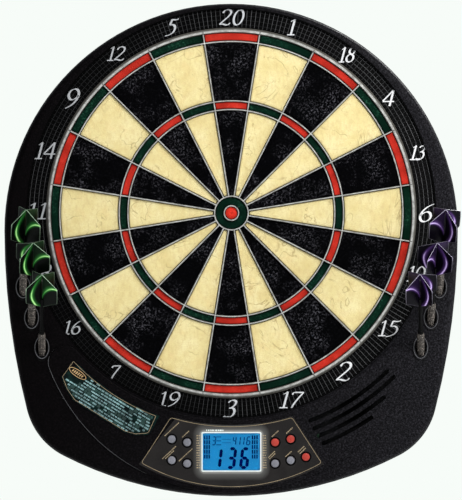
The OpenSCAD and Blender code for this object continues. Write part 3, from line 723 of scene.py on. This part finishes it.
DIGITS = {
    "0": (0.58, [oval(0.29, 0.49, 0.215, 0.455)]),
    "1": (0.42, [[(0.10, 0.83), (0.18, 0.88), (0.26, 0.97)], [(0.25, 0.97), (0.25, 0.03)],
                 [(0.08, 0.025), (0.42, 0.025)]]),
    "2": (0.58, [[(0.07, 0.76), (0.12, 0.89), (0.26, 0.965), (0.41, 0.90), (0.45, 0.74),
                  (0.37, 0.55), (0.20, 0.30), (0.04, 0.07)],
                 [(0.04, 0.06), (0.18, 0.085), (0.33, 0.04), (0.44, 0.045), (0.53, 0.15)]]),
    "3": (0.56, [[(0.09, 0.83), (0.19, 0.94), (0.33, 0.955), (0.43, 0.86), (0.40, 0.69),
                  (0.28, 0.57), (0.18, 0.53)],
                 [(0.19, 0.54), (0.36, 0.53), (0.46, 0.39), (0.44, 0.18), (0.32, 0.05),
                  (0.18, 0.01), (0.06, 0.04)], [(0.30, 0.075), (0.08, 0.05)],
                 [(0.10, 0.0), (0.05, 0.11)]]),
    "4": (0.60, [[(0.40, 0.97), (0.22, 0.64), (0.03, 0.31)], [(0.03, 0.29), (0.57, 0.29)],
                 [(0.41, 0.97), (0.41, 0.02)]]),
    "5": (0.56, [[(0.18, 0.93), (0.34, 0.91), (0.44, 0.92), (0.52, 0.98)],
                 [(0.18, 0.94), (0.13, 0.60)],
                 [(0.13, 0.59), (0.28, 0.62), (0.42, 0.53), (0.46, 0.35), (0.38, 0.14),
                  (0.20, 0.01), (0.02, -0.04)]]),
    "6": (0.58, [[(0.48, 0.99), (0.28, 0.84), (0.13, 0.60), (0.08, 0.33), (0.15, 0.10),
                  (0.29, 0.03), (0.43, 0.12), (0.48, 0.31), (0.41, 0.50), (0.28, 0.56),
                  (0.14, 0.46), (0.09, 0.34)]]),
    "7": (0.54, [[(0.06, 0.80), (0.11, 0.92), (0.28, 0.93), (0.52, 0.93)],
                 [(0.51, 0.93), (0.36, 0.60), (0.24, 0.30), (0.17, 0.0)]]),
    "8": (0.58, [oval(0.31, 0.745, 0.155, 0.205), oval(0.28, 0.275, 0.20, 0.245)]),
    "9": (0.58, [[(0.10, -0.02), (0.30, 0.13), (0.45, 0.37), (0.50, 0.64), (0.43, 0.87),
                  (0.29, 0.94), (0.15, 0.85), (0.10, 0.66), (0.17, 0.47), (0.30, 0.41),
                  (0.44, 0.51), (0.49, 0.63)]]),
}
SLANT = 0.27
NIB_TURN = math.radians(20)
NIB_LONG = 0.128         # of a digit's height
NIB_SHORT = 0.8          # millimetres


def stroke(build, points, place, size, z0, z1):
    """A broad-nib stroke as a solid ribbon with chamfered edges."""
    path = catmull(points) if len(points) > 2 else points
    thin = NIB_SHORT / size
    rings = []
    for i, (x, y) in enumerate(path):
        a, b = path[max(0, i - 1)], path[min(len(path) - 1, i + 1)]
        angle = math.atan2(b[1] - a[1], b[0] - a[0])
        half = 0.5 * (thin + (NIB_LONG - thin) * abs(math.sin(angle - NIB_TURN)))
        nx, ny = across(a, b, half)
        section = []
        for k, z in ((1, z0), (1, z1 - 0.25), (0.85, z1), (-0.85, z1), (-1, z1 - 0.25),
                     (-1, z0)):
            px, py = x + nx * k, y + ny * k
            section.append(at(place[0] + (px + py * SLANT) * size, place[1] + py * size, z))
        rings.append(section)
    build.stack(rings)


# Each number's height in millimetres, its breadth against the plain digits', and
# how far right and up it stands from the middle of its sector.
NUMERALS = {20: (18.0, 1.26, 0.8, 0), 1: (18.2, 1.30, -0.4, 0), 18: (16.8, 1.09, 0.6, 0),
            4: (18.2, 1.26, -1.0, 0), 13: (16.1, 1.06, 0.2, 0), 6: (20.0, 1.45, -1.1, 0),
            10: (17.0, 1.20, -1.5, 0), 15: (17.4, 1.38, -1.2, 0), 2: (21.4, 1.34, -2.0, 0),
            17: (18.4, 1.40, -1.4, -0.5), 3: (20.4, 1.18, -1.0, 0), 19: (16.2, 1.50, -2.0, 0.5),
            7: (16.4, 1.20, -2.2, -1.0), 16: (15.4, 1.34, -0.7, 0.8), 8: (19.0, 1.20, 0, 0.8),
            11: (18.2, 1.50, 1.2, 2.4), 14: (18.6, 1.25, 0.4, 2.2), 9: (22.0, 1.24, -1.0, 0),
            12: (15.9, 1.28, 0, 1.2), 5: (18.6, 1.06, 0.9, 0)}


def make_numerals():
    """Upright italic numbers, each drawn to its own size."""
    radius = (RIM_R + RING_R - 0.8) / 2 + 1.2
    foot, top = RING_FLOOR + 0.1, RING_FLOOR + 1.5
    for i, number in enumerate(NUMBERS):
        text = str(number)
        size, breadth, right, up = NUMERALS[number]
        total = sum(DIGITS[c][0] for c in text) * breadth * size
        cx, cy = polar(radius, 90 - SECTOR * i)
        x = cx + right - (total + SLANT * size) / 2 + 0.03 * size
        build = Build()
        for c in text:
            width, strokes = DIGITS[c]
            for lift, points in enumerate(strokes):
                points = [(px * breadth, py) for px, py in points]
                stroke(build, points, (x, cy + up - size / 2), size, foot, top + 0.03 * lift)
            x += width * breadth * size
        build.done(f"numeral_{number}", "white_print")


# ---- scorer

def outline_strip(name, points, width, z, look, height=0.12):
    """A thin raised line that follows a closed outline."""
    rings = []
    for i, (x, y) in enumerate(points):
        nx, ny = across(points[i - 1], points[(i + 1) % len(points)], width / 2)
        rings.append([at(x + k * nx, y + k * ny, z + lift)
                      for k, lift in ((1, -SINK), (1, height), (-1, height), (-1, -SINK))])
    build = Build()
    build.wrap(rings, len(rings))
    build.done(name, look)


def rounded(corners, radius, arc_steps=5):
    """Corners joined by short arcs; long sides are left to the corners given."""
    out = []
    n = len(corners)
    for i, (x, y) in enumerate(corners):
        ax, ay = corners[i - 1]
        bx, by = corners[(i + 1) % n]
        da, db = math.hypot(ax - x, ay - y), math.hypot(bx - x, by - y)
        turn = abs((ax - x) * (by - y) - (ay - y) * (bx - x)) / (da * db)
        if turn < 0.3:
            out.append((x, y))
            continue
        k = min(radius, da / 2, db / 2)
        pa = (x + (ax - x) * k / da, y + (ay - y) * k / da)
        pb = (x + (bx - x) * k / db, y + (by - y) * k / db)
        for s in range(arc_steps + 1):
            t = s / arc_steps
            out.append(tuple((1 - t) ** 2 * a + 2 * t * (1 - t) * b + t * t * c
                             for a, b, c in zip(pa, (x, y), pb)))
    return out


APRON_C = (0, -93)       # the centre of the apron's lower curve
PANEL_TOP_R = 231        # about the bull
PANEL_LOW_R = 207        # about APRON_C


def panel_line(inset):
    top, low = 73.2, 60.8
    upper = [polar(PANEL_TOP_R + inset, -top - (180 - 2 * top) * i / 16) for i in range(17)]
    lower = []
    for i in range(25):
        x, y = polar(PANEL_LOW_R - inset, low - 180 + (180 - 2 * low) * i / 24)
        lower.append((x + APRON_C[0], y + APRON_C[1]))
    points = upper + lower
    scale = 1 - inset / 95
    return rounded([(x * scale, y) for x, y in points], 3)


def marks(build, start, angle, length, height, z, rng, gap=0.55, longest=2.6):
    """A row of small blocks of uneven length, standing in for a line of print."""
    dx, dy = polar(1, angle)
    done = 0.0
    while done < length - 0.4:
        run = min(rng.uniform(0.7, longest), length - done)
        a = (start[0] + dx * done, start[1] + dy * done)
        b = (a[0] + dx * run, a[1] + dy * run)
        build.bar(a, b, height, z - SINK, z + 0.1)
        done += run + gap * rng.uniform(0.6, 1.5)


BUTTONS = {name: ((b[0] + b[2]) / 2, (b[1] + b[3]) / 2)
           for name in frame["nodes"] if name.startswith("button_") and name != "button_mat"
           for b in [face_box(name)]}


# Where each printed row starts from its button, and its length, in millimetres.
LABELS = {"button_top_outer_left": [(-7.6, 3.6, 21)],
          "button_top_inner_left": [(-5.4, 5.6, 10)],
          "button_low_outer_left": [(-10.2, 1.4, 20), (-7.0, 1.6, 13)],
          "button_low_inner_left": [(-9.0, 2.6, 20)],
          "button_top_inner_right": [(-3.6, 6.0, 10)],
          "button_top_outer_right": [(-4.9, 6.0, 9.5)],
          "button_low_inner_right": [(-7.6, 6.4, 10), (-6.2, 5.0, 9)],
          "button_low_outer_right": [(-5.6, 3.8, 9.5)],
          "button_power": [(-8.8, 5.2, 9.5), (-6.8, 3.6, 9)]}


def make_panel():
    rng = random.Random(7)
    label_turn, inner, outer = 43, 4.55, 6.0
    outline_strip("panel_border", panel_line(1.8), 0.45, PANEL_Z, "gold_print")
    build, rings = Build(), Build()
    for name, (x, y) in sorted(BUTTONS.items()):
        for right, up, long in LABELS[name]:
            marks(build, (x + right, y + up), label_turn, long, 1.05, PANEL_Z, rng, 0.45, 1.6)
        low, high = PANEL_Z - SINK, PANEL_Z + 0.03
        rings.turn([(inner, low), (outer, low), (outer, high), (inner, high)], 40, (x, y))
    build.done("panel_labels", "gold_print")
    rings.done("panel_button_rings", "print_black")


def seven(build, lit, x, y, w, h, thick, z0, z1):
    """A seven-bar digit, leaning a little. lit names its bars, from a to g."""
    lean = 0.12
    bars = {"a": ((0, 2), (1, 2)), "b": ((1, 2), (1, 1)), "c": ((1, 1), (1, 0)),
            "d": ((0, 0), (1, 0)), "e": ((0, 1), (0, 0)), "f": ((0, 2), (0, 1)),
            "g": ((0, 1), (1, 1))}
    for key in lit:
        a, b = [Vector((x + px * w + py * h / 2 * lean, y + py * h / 2))
                for px, py in bars[key]]
        along = (b - a).normalized() * thick
        side = Vector((-along.y, along.x)) / 2
        a, b = a + along * 0.12, b - along * 0.12
        k = 0.42
        shape = [a, a + along * k - side, b - along * k - side, b, b - along * k + side,
                 a + along * k + side]
        build.stack([[at(p.x, p.y, z) for p in shape] for z in (z0, z1)])


def make_display():
    """Three large digits, a row of small ones, and columns of bars at both sides."""
    x0, y0, x1, y1 = face_box("lcd_glass")
    cx, cy = (x0 + x1) / 2, (y0 + y1) / 2
    glass = top_of("lcd_glass")
    low, high = glass - SINK, glass + 0.06
    digits = {"1": "bc", "3": "abcdg", "6": "acdefg", "4": "bcfg"}
    ink, faint, bars, surround, heading = [Build() for each in range(5)]
    for digit, x in (("1", -19.9), ("3", -4.4), ("6", 9.9)):
        seven(ink, digits[digit], cx + x, cy - 17.1, 6.7, 20.4, 3.4, low, high)
    for digit, x, wide in (("3", -20.9, 3.0), ("4", 1.5, 2.8), ("1", 6.2, 2.8),
                           ("1", 10.4, 2.8), ("6", 16.4, 3.4)):
        seven(faint, digits[digit], cx + x, cy + 7.6, wide, 8.6, 1.1, low, high)
    for y in (16.2, 11.9, 7.6):
        faint.bar((cx - 16.6, cy + y), (cx - 11.2, cy + y), 0.8, low, high)
    for y in (13.6, 9.8):
        faint.bar((cx - 10, cy + y), (cx - 0.5, cy + y), 0.35, low, high - 0.03)
    for row in range(5):
        y = cy + 15.6 - 5.2 * row
        for column in range(3):
            for x in (-29.1 + 2.45 * column, 23.0 + 2.45 * column):
                bars.bar((cx + x, y - 2.2), (cx + x, y + 2.2), 1.5, low, high)
    ink.done("display_digits", "lcd_ink")
    faint.done("display_small_marks", "lcd_faint")
    bars.done("display_side_bars", "lcd_bar")
    # White printed frame round the window, and the rows of marks beside it.
    x0, y0, x1, y1 = face_box("lcd_window")
    rim = 0.6
    outer = [(x0 - rim, y0 - rim), (x1 + rim, y0 - rim), (x1 + rim, y1 + rim),
             (x0 - rim, y1 + rim)]
    # The frame glows in the lamp's white: a painted glow on print.
    outline_strip("display_frame", rounded(outer, 0.8), 1.15, PANEL_Z, "lamp_white", 0.1)
    for x in (x0 + 0.9, x1 - 0.9):
        surround.bar((x, y0 + 0.5), (x, y1 - 0.5), 1.6, glass - 0.6, low)
    for y in (y0 + 0.9, y1 - 0.9):
        surround.bar((x0 + 1.7, y), (x1 - 1.7, y), 1.6, glass - 0.6, low)
    surround.done("display_surround", "lcd_blue")
    rng = random.Random(11)
    sides = Build()
    for row in range(14):
        y = y1 - 2.8 - 2.68 * row
        for x in (x0 - 6.6, x1 + 2.6):
            marks(sides, (x, y), 0, 4.0, 1.2, PANEL_Z, rng)
    sides.done("display_side_marks", "gold_print")
    # These marks glow in the lamp's white too: a painted glow.
    marks(heading, (x0 + 4, y1 + 3.0), 0, 19, 1.7, PANEL_Z, rng, 0.75, 1.7)
    heading.done("display_heading_marks", "lamp_white")


BADGE = (-167.5, -174.7)
BADGE_TURN = -34
BADGE_ROOM = 11.0
PRINT_START = (-194.5, -203.2)
PRINT_TURN = -31.5
PRINT_PITCH = 3.3


def on_badge(a, b):
    """A place on the badge's own axes, on the board's face."""
    (x, y), (dx, dy) = BADGE, polar(1, BADGE_TURN)
    return x + a * dx - b * dy, y + a * dy + b * dx


def make_legend():
    """Gold border, rows of pale blocks for print, and a plain oval badge with bars in it."""
    z = top_of("legend_plate")
    corners = [polar(236.0, 249.6 - 26.4 * i / 16) for i in range(17)]
    corners += [(-184.0, -178.2), (-179.2, -191.0), (-171.0, -203.2), (-116.2, -237.4),
                (-105, -240.6), (-92.4, -240.0), (-90, -238.2)]
    line = rounded(corners, 1.0)
    outline_strip("legend_border", line, 0.42, z, "gold_print")
    rng = random.Random(5)
    words, blocks, film, bars = Build(), Build(), Build(), Build()
    dx, dy = polar(1, PRINT_TURN)
    for row in range(14):
        done = rng.uniform(0, 1.5)
        while done < 130:
            long = rng.uniform(2.2, 5.4)
            x = PRINT_START[0] + dx * done - dy * PRINT_PITCH * row
            y = PRINT_START[1] + dy * done + dx * PRINT_PITCH * row
            ends = ((x, y), (x + dx * long, y + dy * long))
            badge = min(math.hypot(p[0] - BADGE[0], (p[1] - BADGE[1]) * 1.25) for p in ends)
            if all(point_inside(p, line, 1.4) for p in ends) and badge > BADGE_ROOM:
                if rng.random() < 0.74:
                    marks(words, ends[0], PRINT_TURN, long, 1.5, z, rng, 0.3, 1.9)
                if rng.random() < 0.6:
                    blocks.bar(*ends, PRINT_PITCH - 0.25, z - SINK, z + 0.04)
            done += long + rng.uniform(0.5, 1.1)
    blocks.done("legend_blocks", "legend_light")
    words.done("legend_marks", "legend_print")
    film.stack([[at(*on_badge(a, b), height) for a, b in oval(0, 0, 12.2, 4.8, n=40)[:-1]]
                for height in (z - SINK, z + 0.06)])
    film.done("legend_badge_ground", "print_black")
    rim = [on_badge(a, b) for a, b in oval(0, 0, 10.6, 3.5, n=40)[:-1]]
    outline_strip("legend_badge", rim, 0.75, z, "badge_gold", 0.2)
    for k in range(6):
        a = -6.0 + 2.4 * k
        reach = 1.7 * math.sqrt(1 - (a / 9.2) ** 2)
        bars.bar(on_badge(a - 0.5, -reach), on_badge(a + 0.5, reach), 1.3, z, z + 0.15)
    bars.done("legend_badge_bars", "badge_gold")


BEAD_ANGLES = (24, 74)   # where the bead starts and ends, from straight down
BEAD_R = 180             # the bead's vertices stand further than this from APRON_C


def make_apron_bead():
    """A fine bead along the apron's lower curve and round its horns: pale on the left as a painted highlight, in
    the casing's colour on the right.
    """
    foot = APRON_Z - 1.3
    housing = frame["nodes"]["front_housing"].data
    edge = {(round(v.co.x / MM, 1), round(v.co.z / MM, 1)) for v in housing.vertices
            if abs(-v.co.y / MM - (APRON_Z - 0.8)) < 0.05}
    # The left bead is painted pale as a highlight; the right one takes the casing's colour.
    for side, name, look in ((-1, "left", "edge_sheen"), (1, "right", "casing_charcoal")):
        path = []
        for x, y in edge:
            dx, dy = x - APRON_C[0], y - APRON_C[1]
            angle = side * math.degrees(math.atan2(dx, -dy))
            if BEAD_ANGLES[0] < angle < BEAD_ANGLES[1] and math.hypot(dx, dy) > BEAD_R:
                path.append((angle, x, y))
        path = [(x, y) for angle, x, y in sorted(path)]
        build, rings, last = Build(), [], len(path) - 1
        for k, (x, y) in enumerate(path):
            half = 0.12 + 0.36 * min(1.0, k / 4, (last - k) / 4)
            nx, ny = across(path[max(0, k - 1)], path[min(last, k + 1)], -side * half)
            rings.append([at(x + c * nx, y + c * ny, foot + 0.4 + half * s)
                          for c, s in (polar(1, 60 * j) for j in range(6))])
        build.stack(rings)
        build.done("apron_bead_" + name, look, smooth=True)


def make_socket_rims():
    """A fine pale line round each dart socket's raised mouth: a painted highlight."""
    top, radius = top_of("dart_sockets"), 7.6
    for node, axis in AXES.items():
        if not node.startswith("dart_"):
            continue
        place = DartFrame(node, False)
        # The socket's mouth is a round hole about the dart's axis, cut level.
        reach = (top * MM + place.tip.y) / -axis.y
        middle = place.tip + axis * reach
        cx, cy = middle.x / MM, middle.z / MM
        line = [(cx + a, cy + b / -axis.y)
                for a, b in (polar(radius, 360 * k / 48) for k in range(48))]
        outline_strip("socket_rim_" + node[5:], line, 0.75, top, "edge_sheen", 0.06)


def point_inside(p, line, margin):
    """Whether p is inside a closed line and at least margin from each of its points."""
    inside = False
    n = len(line)
    for i in range(n):
        (x0, y0), (x1, y1) = line[i - 1], line[i]
        if (y0 > p[1]) != (y1 > p[1]) and p[0] < (x1 - x0) * (p[1] - y0) / (y1 - y0) + x0:
            inside = not inside
    near = min(math.hypot(p[0] - x, p[1] - y) for x, y in line)
    return inside and near > margin


# ---- darts

FLIGHT = (95.5, 142)     # along the dart from its tip
WING_REACH = 20.8
# How each stored dart stands: its wings' angles round its axis, from the board's
# right-hand side towards the wall, and how far right and wallwards its tail leans,
# because it is loose in its socket. Two neighbours' wings never cross. Then the
# print on each of its wings.
STANCE = {
    "dart_left_top": ((54, 111, 222, 318), (4.3, 4.0), "plain crescent crescent sweep"),
    "dart_left_middle": ((56, 149, 228, 332), (2.3, 0), "plain crescent crescent sweep"),
    "dart_left_bottom": ((51, 119, 214, 322), (0.7, -2.8), "plain crescent crescent sweep"),
    "dart_right_top": ((35, 125, 215, 305), (4.3, 4.7), "crescent plain sweep crescent"),
    "dart_right_middle": ((50, 165, 240, 325), (4.2, 0), "plain crescent sweep crescent"),
    "dart_right_bottom": ((28, 125, 221, 307), (-3.5, -1.6), "crescent plain sweep crescent"),
}
LEAN_AT = 38             # the part of a dart that stays on its socket's axis


class DartFrame:
    """A dart's own axes: its tip, its line out of the socket, and two crosswise."""

    def __init__(self, node, leaning=True):
        low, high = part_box(node)
        self.tip = Vector(((low.x + high.x) / 2, high.y, low.z))
        self.axis = AXES[node]
        self.side = Vector((1, 0, 0))
        self.up = self.axis.cross(self.side)
        if leaning:
            right, back = STANCE[node][1]
            pivot = self.point(0, 0, LEAN_AT)
            self.axis = (self.point(right, back, FLIGHT[1]) - pivot).normalized()
            self.side = (self.side - self.axis * self.axis.x).normalized()
            self.up = self.axis.cross(self.side)
            self.tip = pivot - self.axis * LEAN_AT * MM

    def point(self, x, y, t):
        return self.tip + (self.side * x + self.up * y + self.axis * t) * MM


def lathe(place, profile, steps):
    """A (radius, t) profile turned about a dart's axis.

    A third value is how far every second point stands out: the odd ones, or the even
    ones where it is negative.
    """
    rings = []
    for r, t, *tooth in profile:
        tall = tooth[0] if tooth else 0
        radii = (r, r + tall) if tall > 0 else (r - tall, r)
        rings.append([place.point(*polar(radii[k % 2], 360 * k / steps), t)
                      for k in range(steps)])
    build = Build()
    build.stack(rings)
    return build


def make_dart(node, films, edge):
    place = DartFrame(node)
    common = {"body": node, "stands_for": (node,)}
    tip = lathe(place, [(0.15, 0), (0.6, 1.2), (0.9, 5), (1.2, 14), (1.9, 16.4), (2.5, 17),
                        (2.5, 19.9)], 16)
    bevel(tip.done(node + "_tip", "dart_tip", **common), 0.05, 1, 50)
    # Barrel: nose taper, a grip of toothed rings between grooves, a smooth tail.
    profile = [(2.6, 20), (3.4, 21.2), (4.0, 23.2), (4.15, 23.8)]
    for row in range(13):
        t, tooth = 24 + 2 * row, -0.25 if row % 2 else 0.25
        profile += [(3.35, t), (3.9, t + 0.45, tooth), (3.9, t + 1.25, tooth),
                    (3.35, t + 1.7)]
    profile += [(4.1, 50.6), (4.1, 54), (3.6, 56), (3.1, 57)]
    lathe(place, profile, 36).done(node + "_barrel", "dart_metal", **common)
    shaft = lathe(place, [(3.0, 57.05), (3.0, 59.6), (2.5, 60.2), (2.5, 61.2), (3.0, 61.8),
                          (2.3, 66), (1.9, 80), (2.1, 86), (2.6, 89), (2.6, 91),
                          (2.2, 94), (2.0, 107)], 24)
    bevel(shaft.done(node + "_shaft", "dart_shaft", **common), 0.12, 1, 30)
    for k in range(4):
        make_wing(node, place, k, films[k], edge[k // 2])


def make_wing(node, place, k, film, edge):
    """One wing of a flight: a thin, slightly bowed film with a bright cut edge."""
    front, tail = FLIGHT
    angle = STANCE[node][0][k]
    columns, rows = 10, 16
    lead, trail = tail - 31, tail - 10.5

    def place_at(u, v, lift):
        out = 0.3 + (WING_REACH - 0.3) * u
        low = front + (lead - front) * u
        high = tail + (trail - tail) * u
        t = low + (high - low) * v
        bow = 0.55 * math.sin(math.pi * v) * u * u * (1 if k % 2 else -1)
        x, y = polar(1, angle)
        lift += bow
        return place.point(out * x - lift * y, out * y + lift * x, t)

    half = 0.09
    points, uvs, faces = [], [], []
    for side in (half, -half):
        for j in range(rows + 1):
            for i in range(columns + 1):
                points.append(place_at(i / columns, j / rows, side))
                uvs.append((i / columns, j / rows))
    width = columns + 1
    sheet = width * (rows + 1)
    for j in range(rows):
        for i in range(columns):
            a = j * width + i
            faces.append((a, a + 1, a + 1 + width, a + width))
            faces.append((sheet + a + width, sheet + a + width + 1, sheet + a + 1, sheet + a))
    rim = [j * width + i for j, i in border(rows, columns)]
    for a, b in zip(rim, rim[1:] + rim[:1]):
        faces.append((b, a, sheet + a, sheet + b))
    piece(f"{node}_wing_{k}", points, faces, film, body=node, smooth=True,
          stands_for=(node,), slot=flight_slot(node), uvs=uvs)
    # The heat-sealed edge: a fine bead round the wing's free border.
    build = Build()
    path = [(i / 8, j / 8) for j, i in border(8, 8)[:25]]
    bead, thick = 0.24, half + 0.03
    rings, uvs = [], []
    for u, v in path:
        inner = max(0.02, u - 0.035), v * 0.98 + 0.01
        uvs += [(u, v)] * 4
        rings.append([place_at(u, v, bead), place_at(*inner, thick),
                      place_at(*inner, -thick), place_at(u, v, -bead)])
    build.stack(rings)
    piece(f"{node}_edge_{k}", build.points, build.faces, edge, body=node,
          stands_for=(node,), slot=flight_slot(node), uvs=uvs)


def flight_slot(node):
    return "flight_green" if "left" in node else "flight_purple"


def make_darts():
    """Left-hand flights glow green and right-hand ones violet."""
    shades = {"left": ((0.05, 0.40, 0.06), (0.55, 0.95, 0.36), (0.010, 0.030, 0.012),
                       (0.0008, 0.0016, 0.0010)),
              "right": ((0.15, 0.065, 0.30), (0.70, 0.54, 0.92), (0.030, 0.016, 0.055),
                        (0.0014, 0.0008, 0.0028))}
    sealed = {"left": (0.50, 0.72, 0.50), "right": (0.60, 0.55, 0.70)}
    for side, shade in shades.items():
        # Painted shade: the far wings' edges get a darker copy of the near wings' edge colour.
        edges = [flight_edge(f"edge_{side}_{place}", times(sealed[side], k))
                 for place, k in (("far", 0.3), ("near", 1.0))]
        films = {pattern: flight_film(f"film_{side}_{pattern}", pattern, *shade)
                 for pattern in ("crescent", "sweep", "plain")}
        for place in ("top", "middle", "bottom"):
            node = f"dart_{side}_{place}"
            make_dart(node, [films[name] for name in STANCE[node][2].split()], edges)


# ---- stage, light

def make_stage():
    scene = bpy.context.scene
    scene.view_settings.view_transform = "Standard"
    world = bpy.data.worlds.new("studio")
    scene.world = world
    world.use_nodes = True
    tree = world.node_tree
    seen, fill = tree.nodes["Background"], tree.nodes.new("ShaderNodeBackground")
    for shade, color, strength in ((seen, (0.930, 0.973, 0.939, 1), 1.0),
                                   (fill, (0.90, 0.94, 1.0, 1), 0.30)):
        shade.inputs["Color"].default_value = color
        shade.inputs["Strength"].default_value = strength
    ray = tree.nodes.new("ShaderNodeLightPath")
    mix = tree.nodes.new("ShaderNodeMixShader")
    out = tree.nodes["World Output"]
    tree.links.new(ray.outputs["Is Camera Ray"], mix.inputs[0])
    tree.links.new(fill.outputs[0], mix.inputs[1])
    tree.links.new(seen.outputs[0], mix.inputs[2])
    tree.links.new(mix.outputs[0], out.inputs["Surface"])

    floor = bpy.data.meshes.new("floor")
    size, drop = 3.0, -0.72
    floor.from_pydata([(-size, -size, drop), (size, -size, drop), (size, size, drop),
                       (-size, size, drop)], [], [(0, 1, 2, 3)])
    floor.materials.append(Look("floor_pale", (0.82, 0.84, 0.83), 0.8).material)
    add_object("floor", floor)


def aimed(name, data, place, aim):
    made = add_object(name, data)
    made.location = place
    made.rotation_euler = (Vector(aim) - Vector(place)).to_track_quat("-Z", "Y").to_euler()
    return made


def make_lights():
    """Soft round lamps: where each stands, what it points at, its size and its power."""
    for name, place, aim, size, power in (
            ("key", (0.75, -1.15, 0.95), (0.05, 0, 0), 0.55, 18),
            ("side", (1.15, -0.42, -0.05), (0.1, 0, -0.1), 0.7, 6),
            ("top", (-0.1, -0.7, 1.5), (0, 0, 0), 0.8, 6),
            ("front", (-0.9, -2.0, 0.1), (0, 0, -0.05), 1.2, 4),
            ("kicker", (-1.3, -0.25, -0.75), (-0.1, 0, -0.2), 0.3, 5),
            ("back", (0.9, 1.5, 1.1), (0, 0, -0.05), 1.0, 40)):
        data = bpy.data.lights.new(name, "AREA")
        data.shape = "DISK"
        data.size = size
        data.energy = power
        aimed(name, data, place, aim)


def make_camera():
    """Nearly straight on, from far off, framed as the photograph is."""
    distance, frame_width, height = 9.0, 0.5036, -0.0403
    left, aim, face = -0.1288, -0.0004, -0.03
    data = bpy.data.cameras.new("camera")
    data.sensor_fit = "HORIZONTAL"
    data.sensor_width = 36
    data.lens = data.sensor_width * (distance + face) / frame_width
    data.clip_end = 40
    bpy.context.scene.camera = aimed("camera", data, (left, -distance, height),
                                     (aim, face, height))


make_camera()
make_stage()
make_lights()
make_segments()
make_bulls()
make_ring_ribs()
make_numerals()
make_panel()
make_display()
make_legend()
make_apron_bead()
make_socket_rims()
make_darts()
for name, width in (("rear_cover", 0.4), ("front_housing", 0.35), ("number_ring", 0.3),
                    ("target_rim", 0.35), ("spider", 0.12), ("control_panel", 0.2),
                    ("legend_plate", 0.2), ("battery_door", 0.3), ("dart_sockets", 0.4)):
    bevel(frame["nodes"][name], width)
for name in BUTTONS:
    bevel(frame["nodes"][name], 0.5, 3)
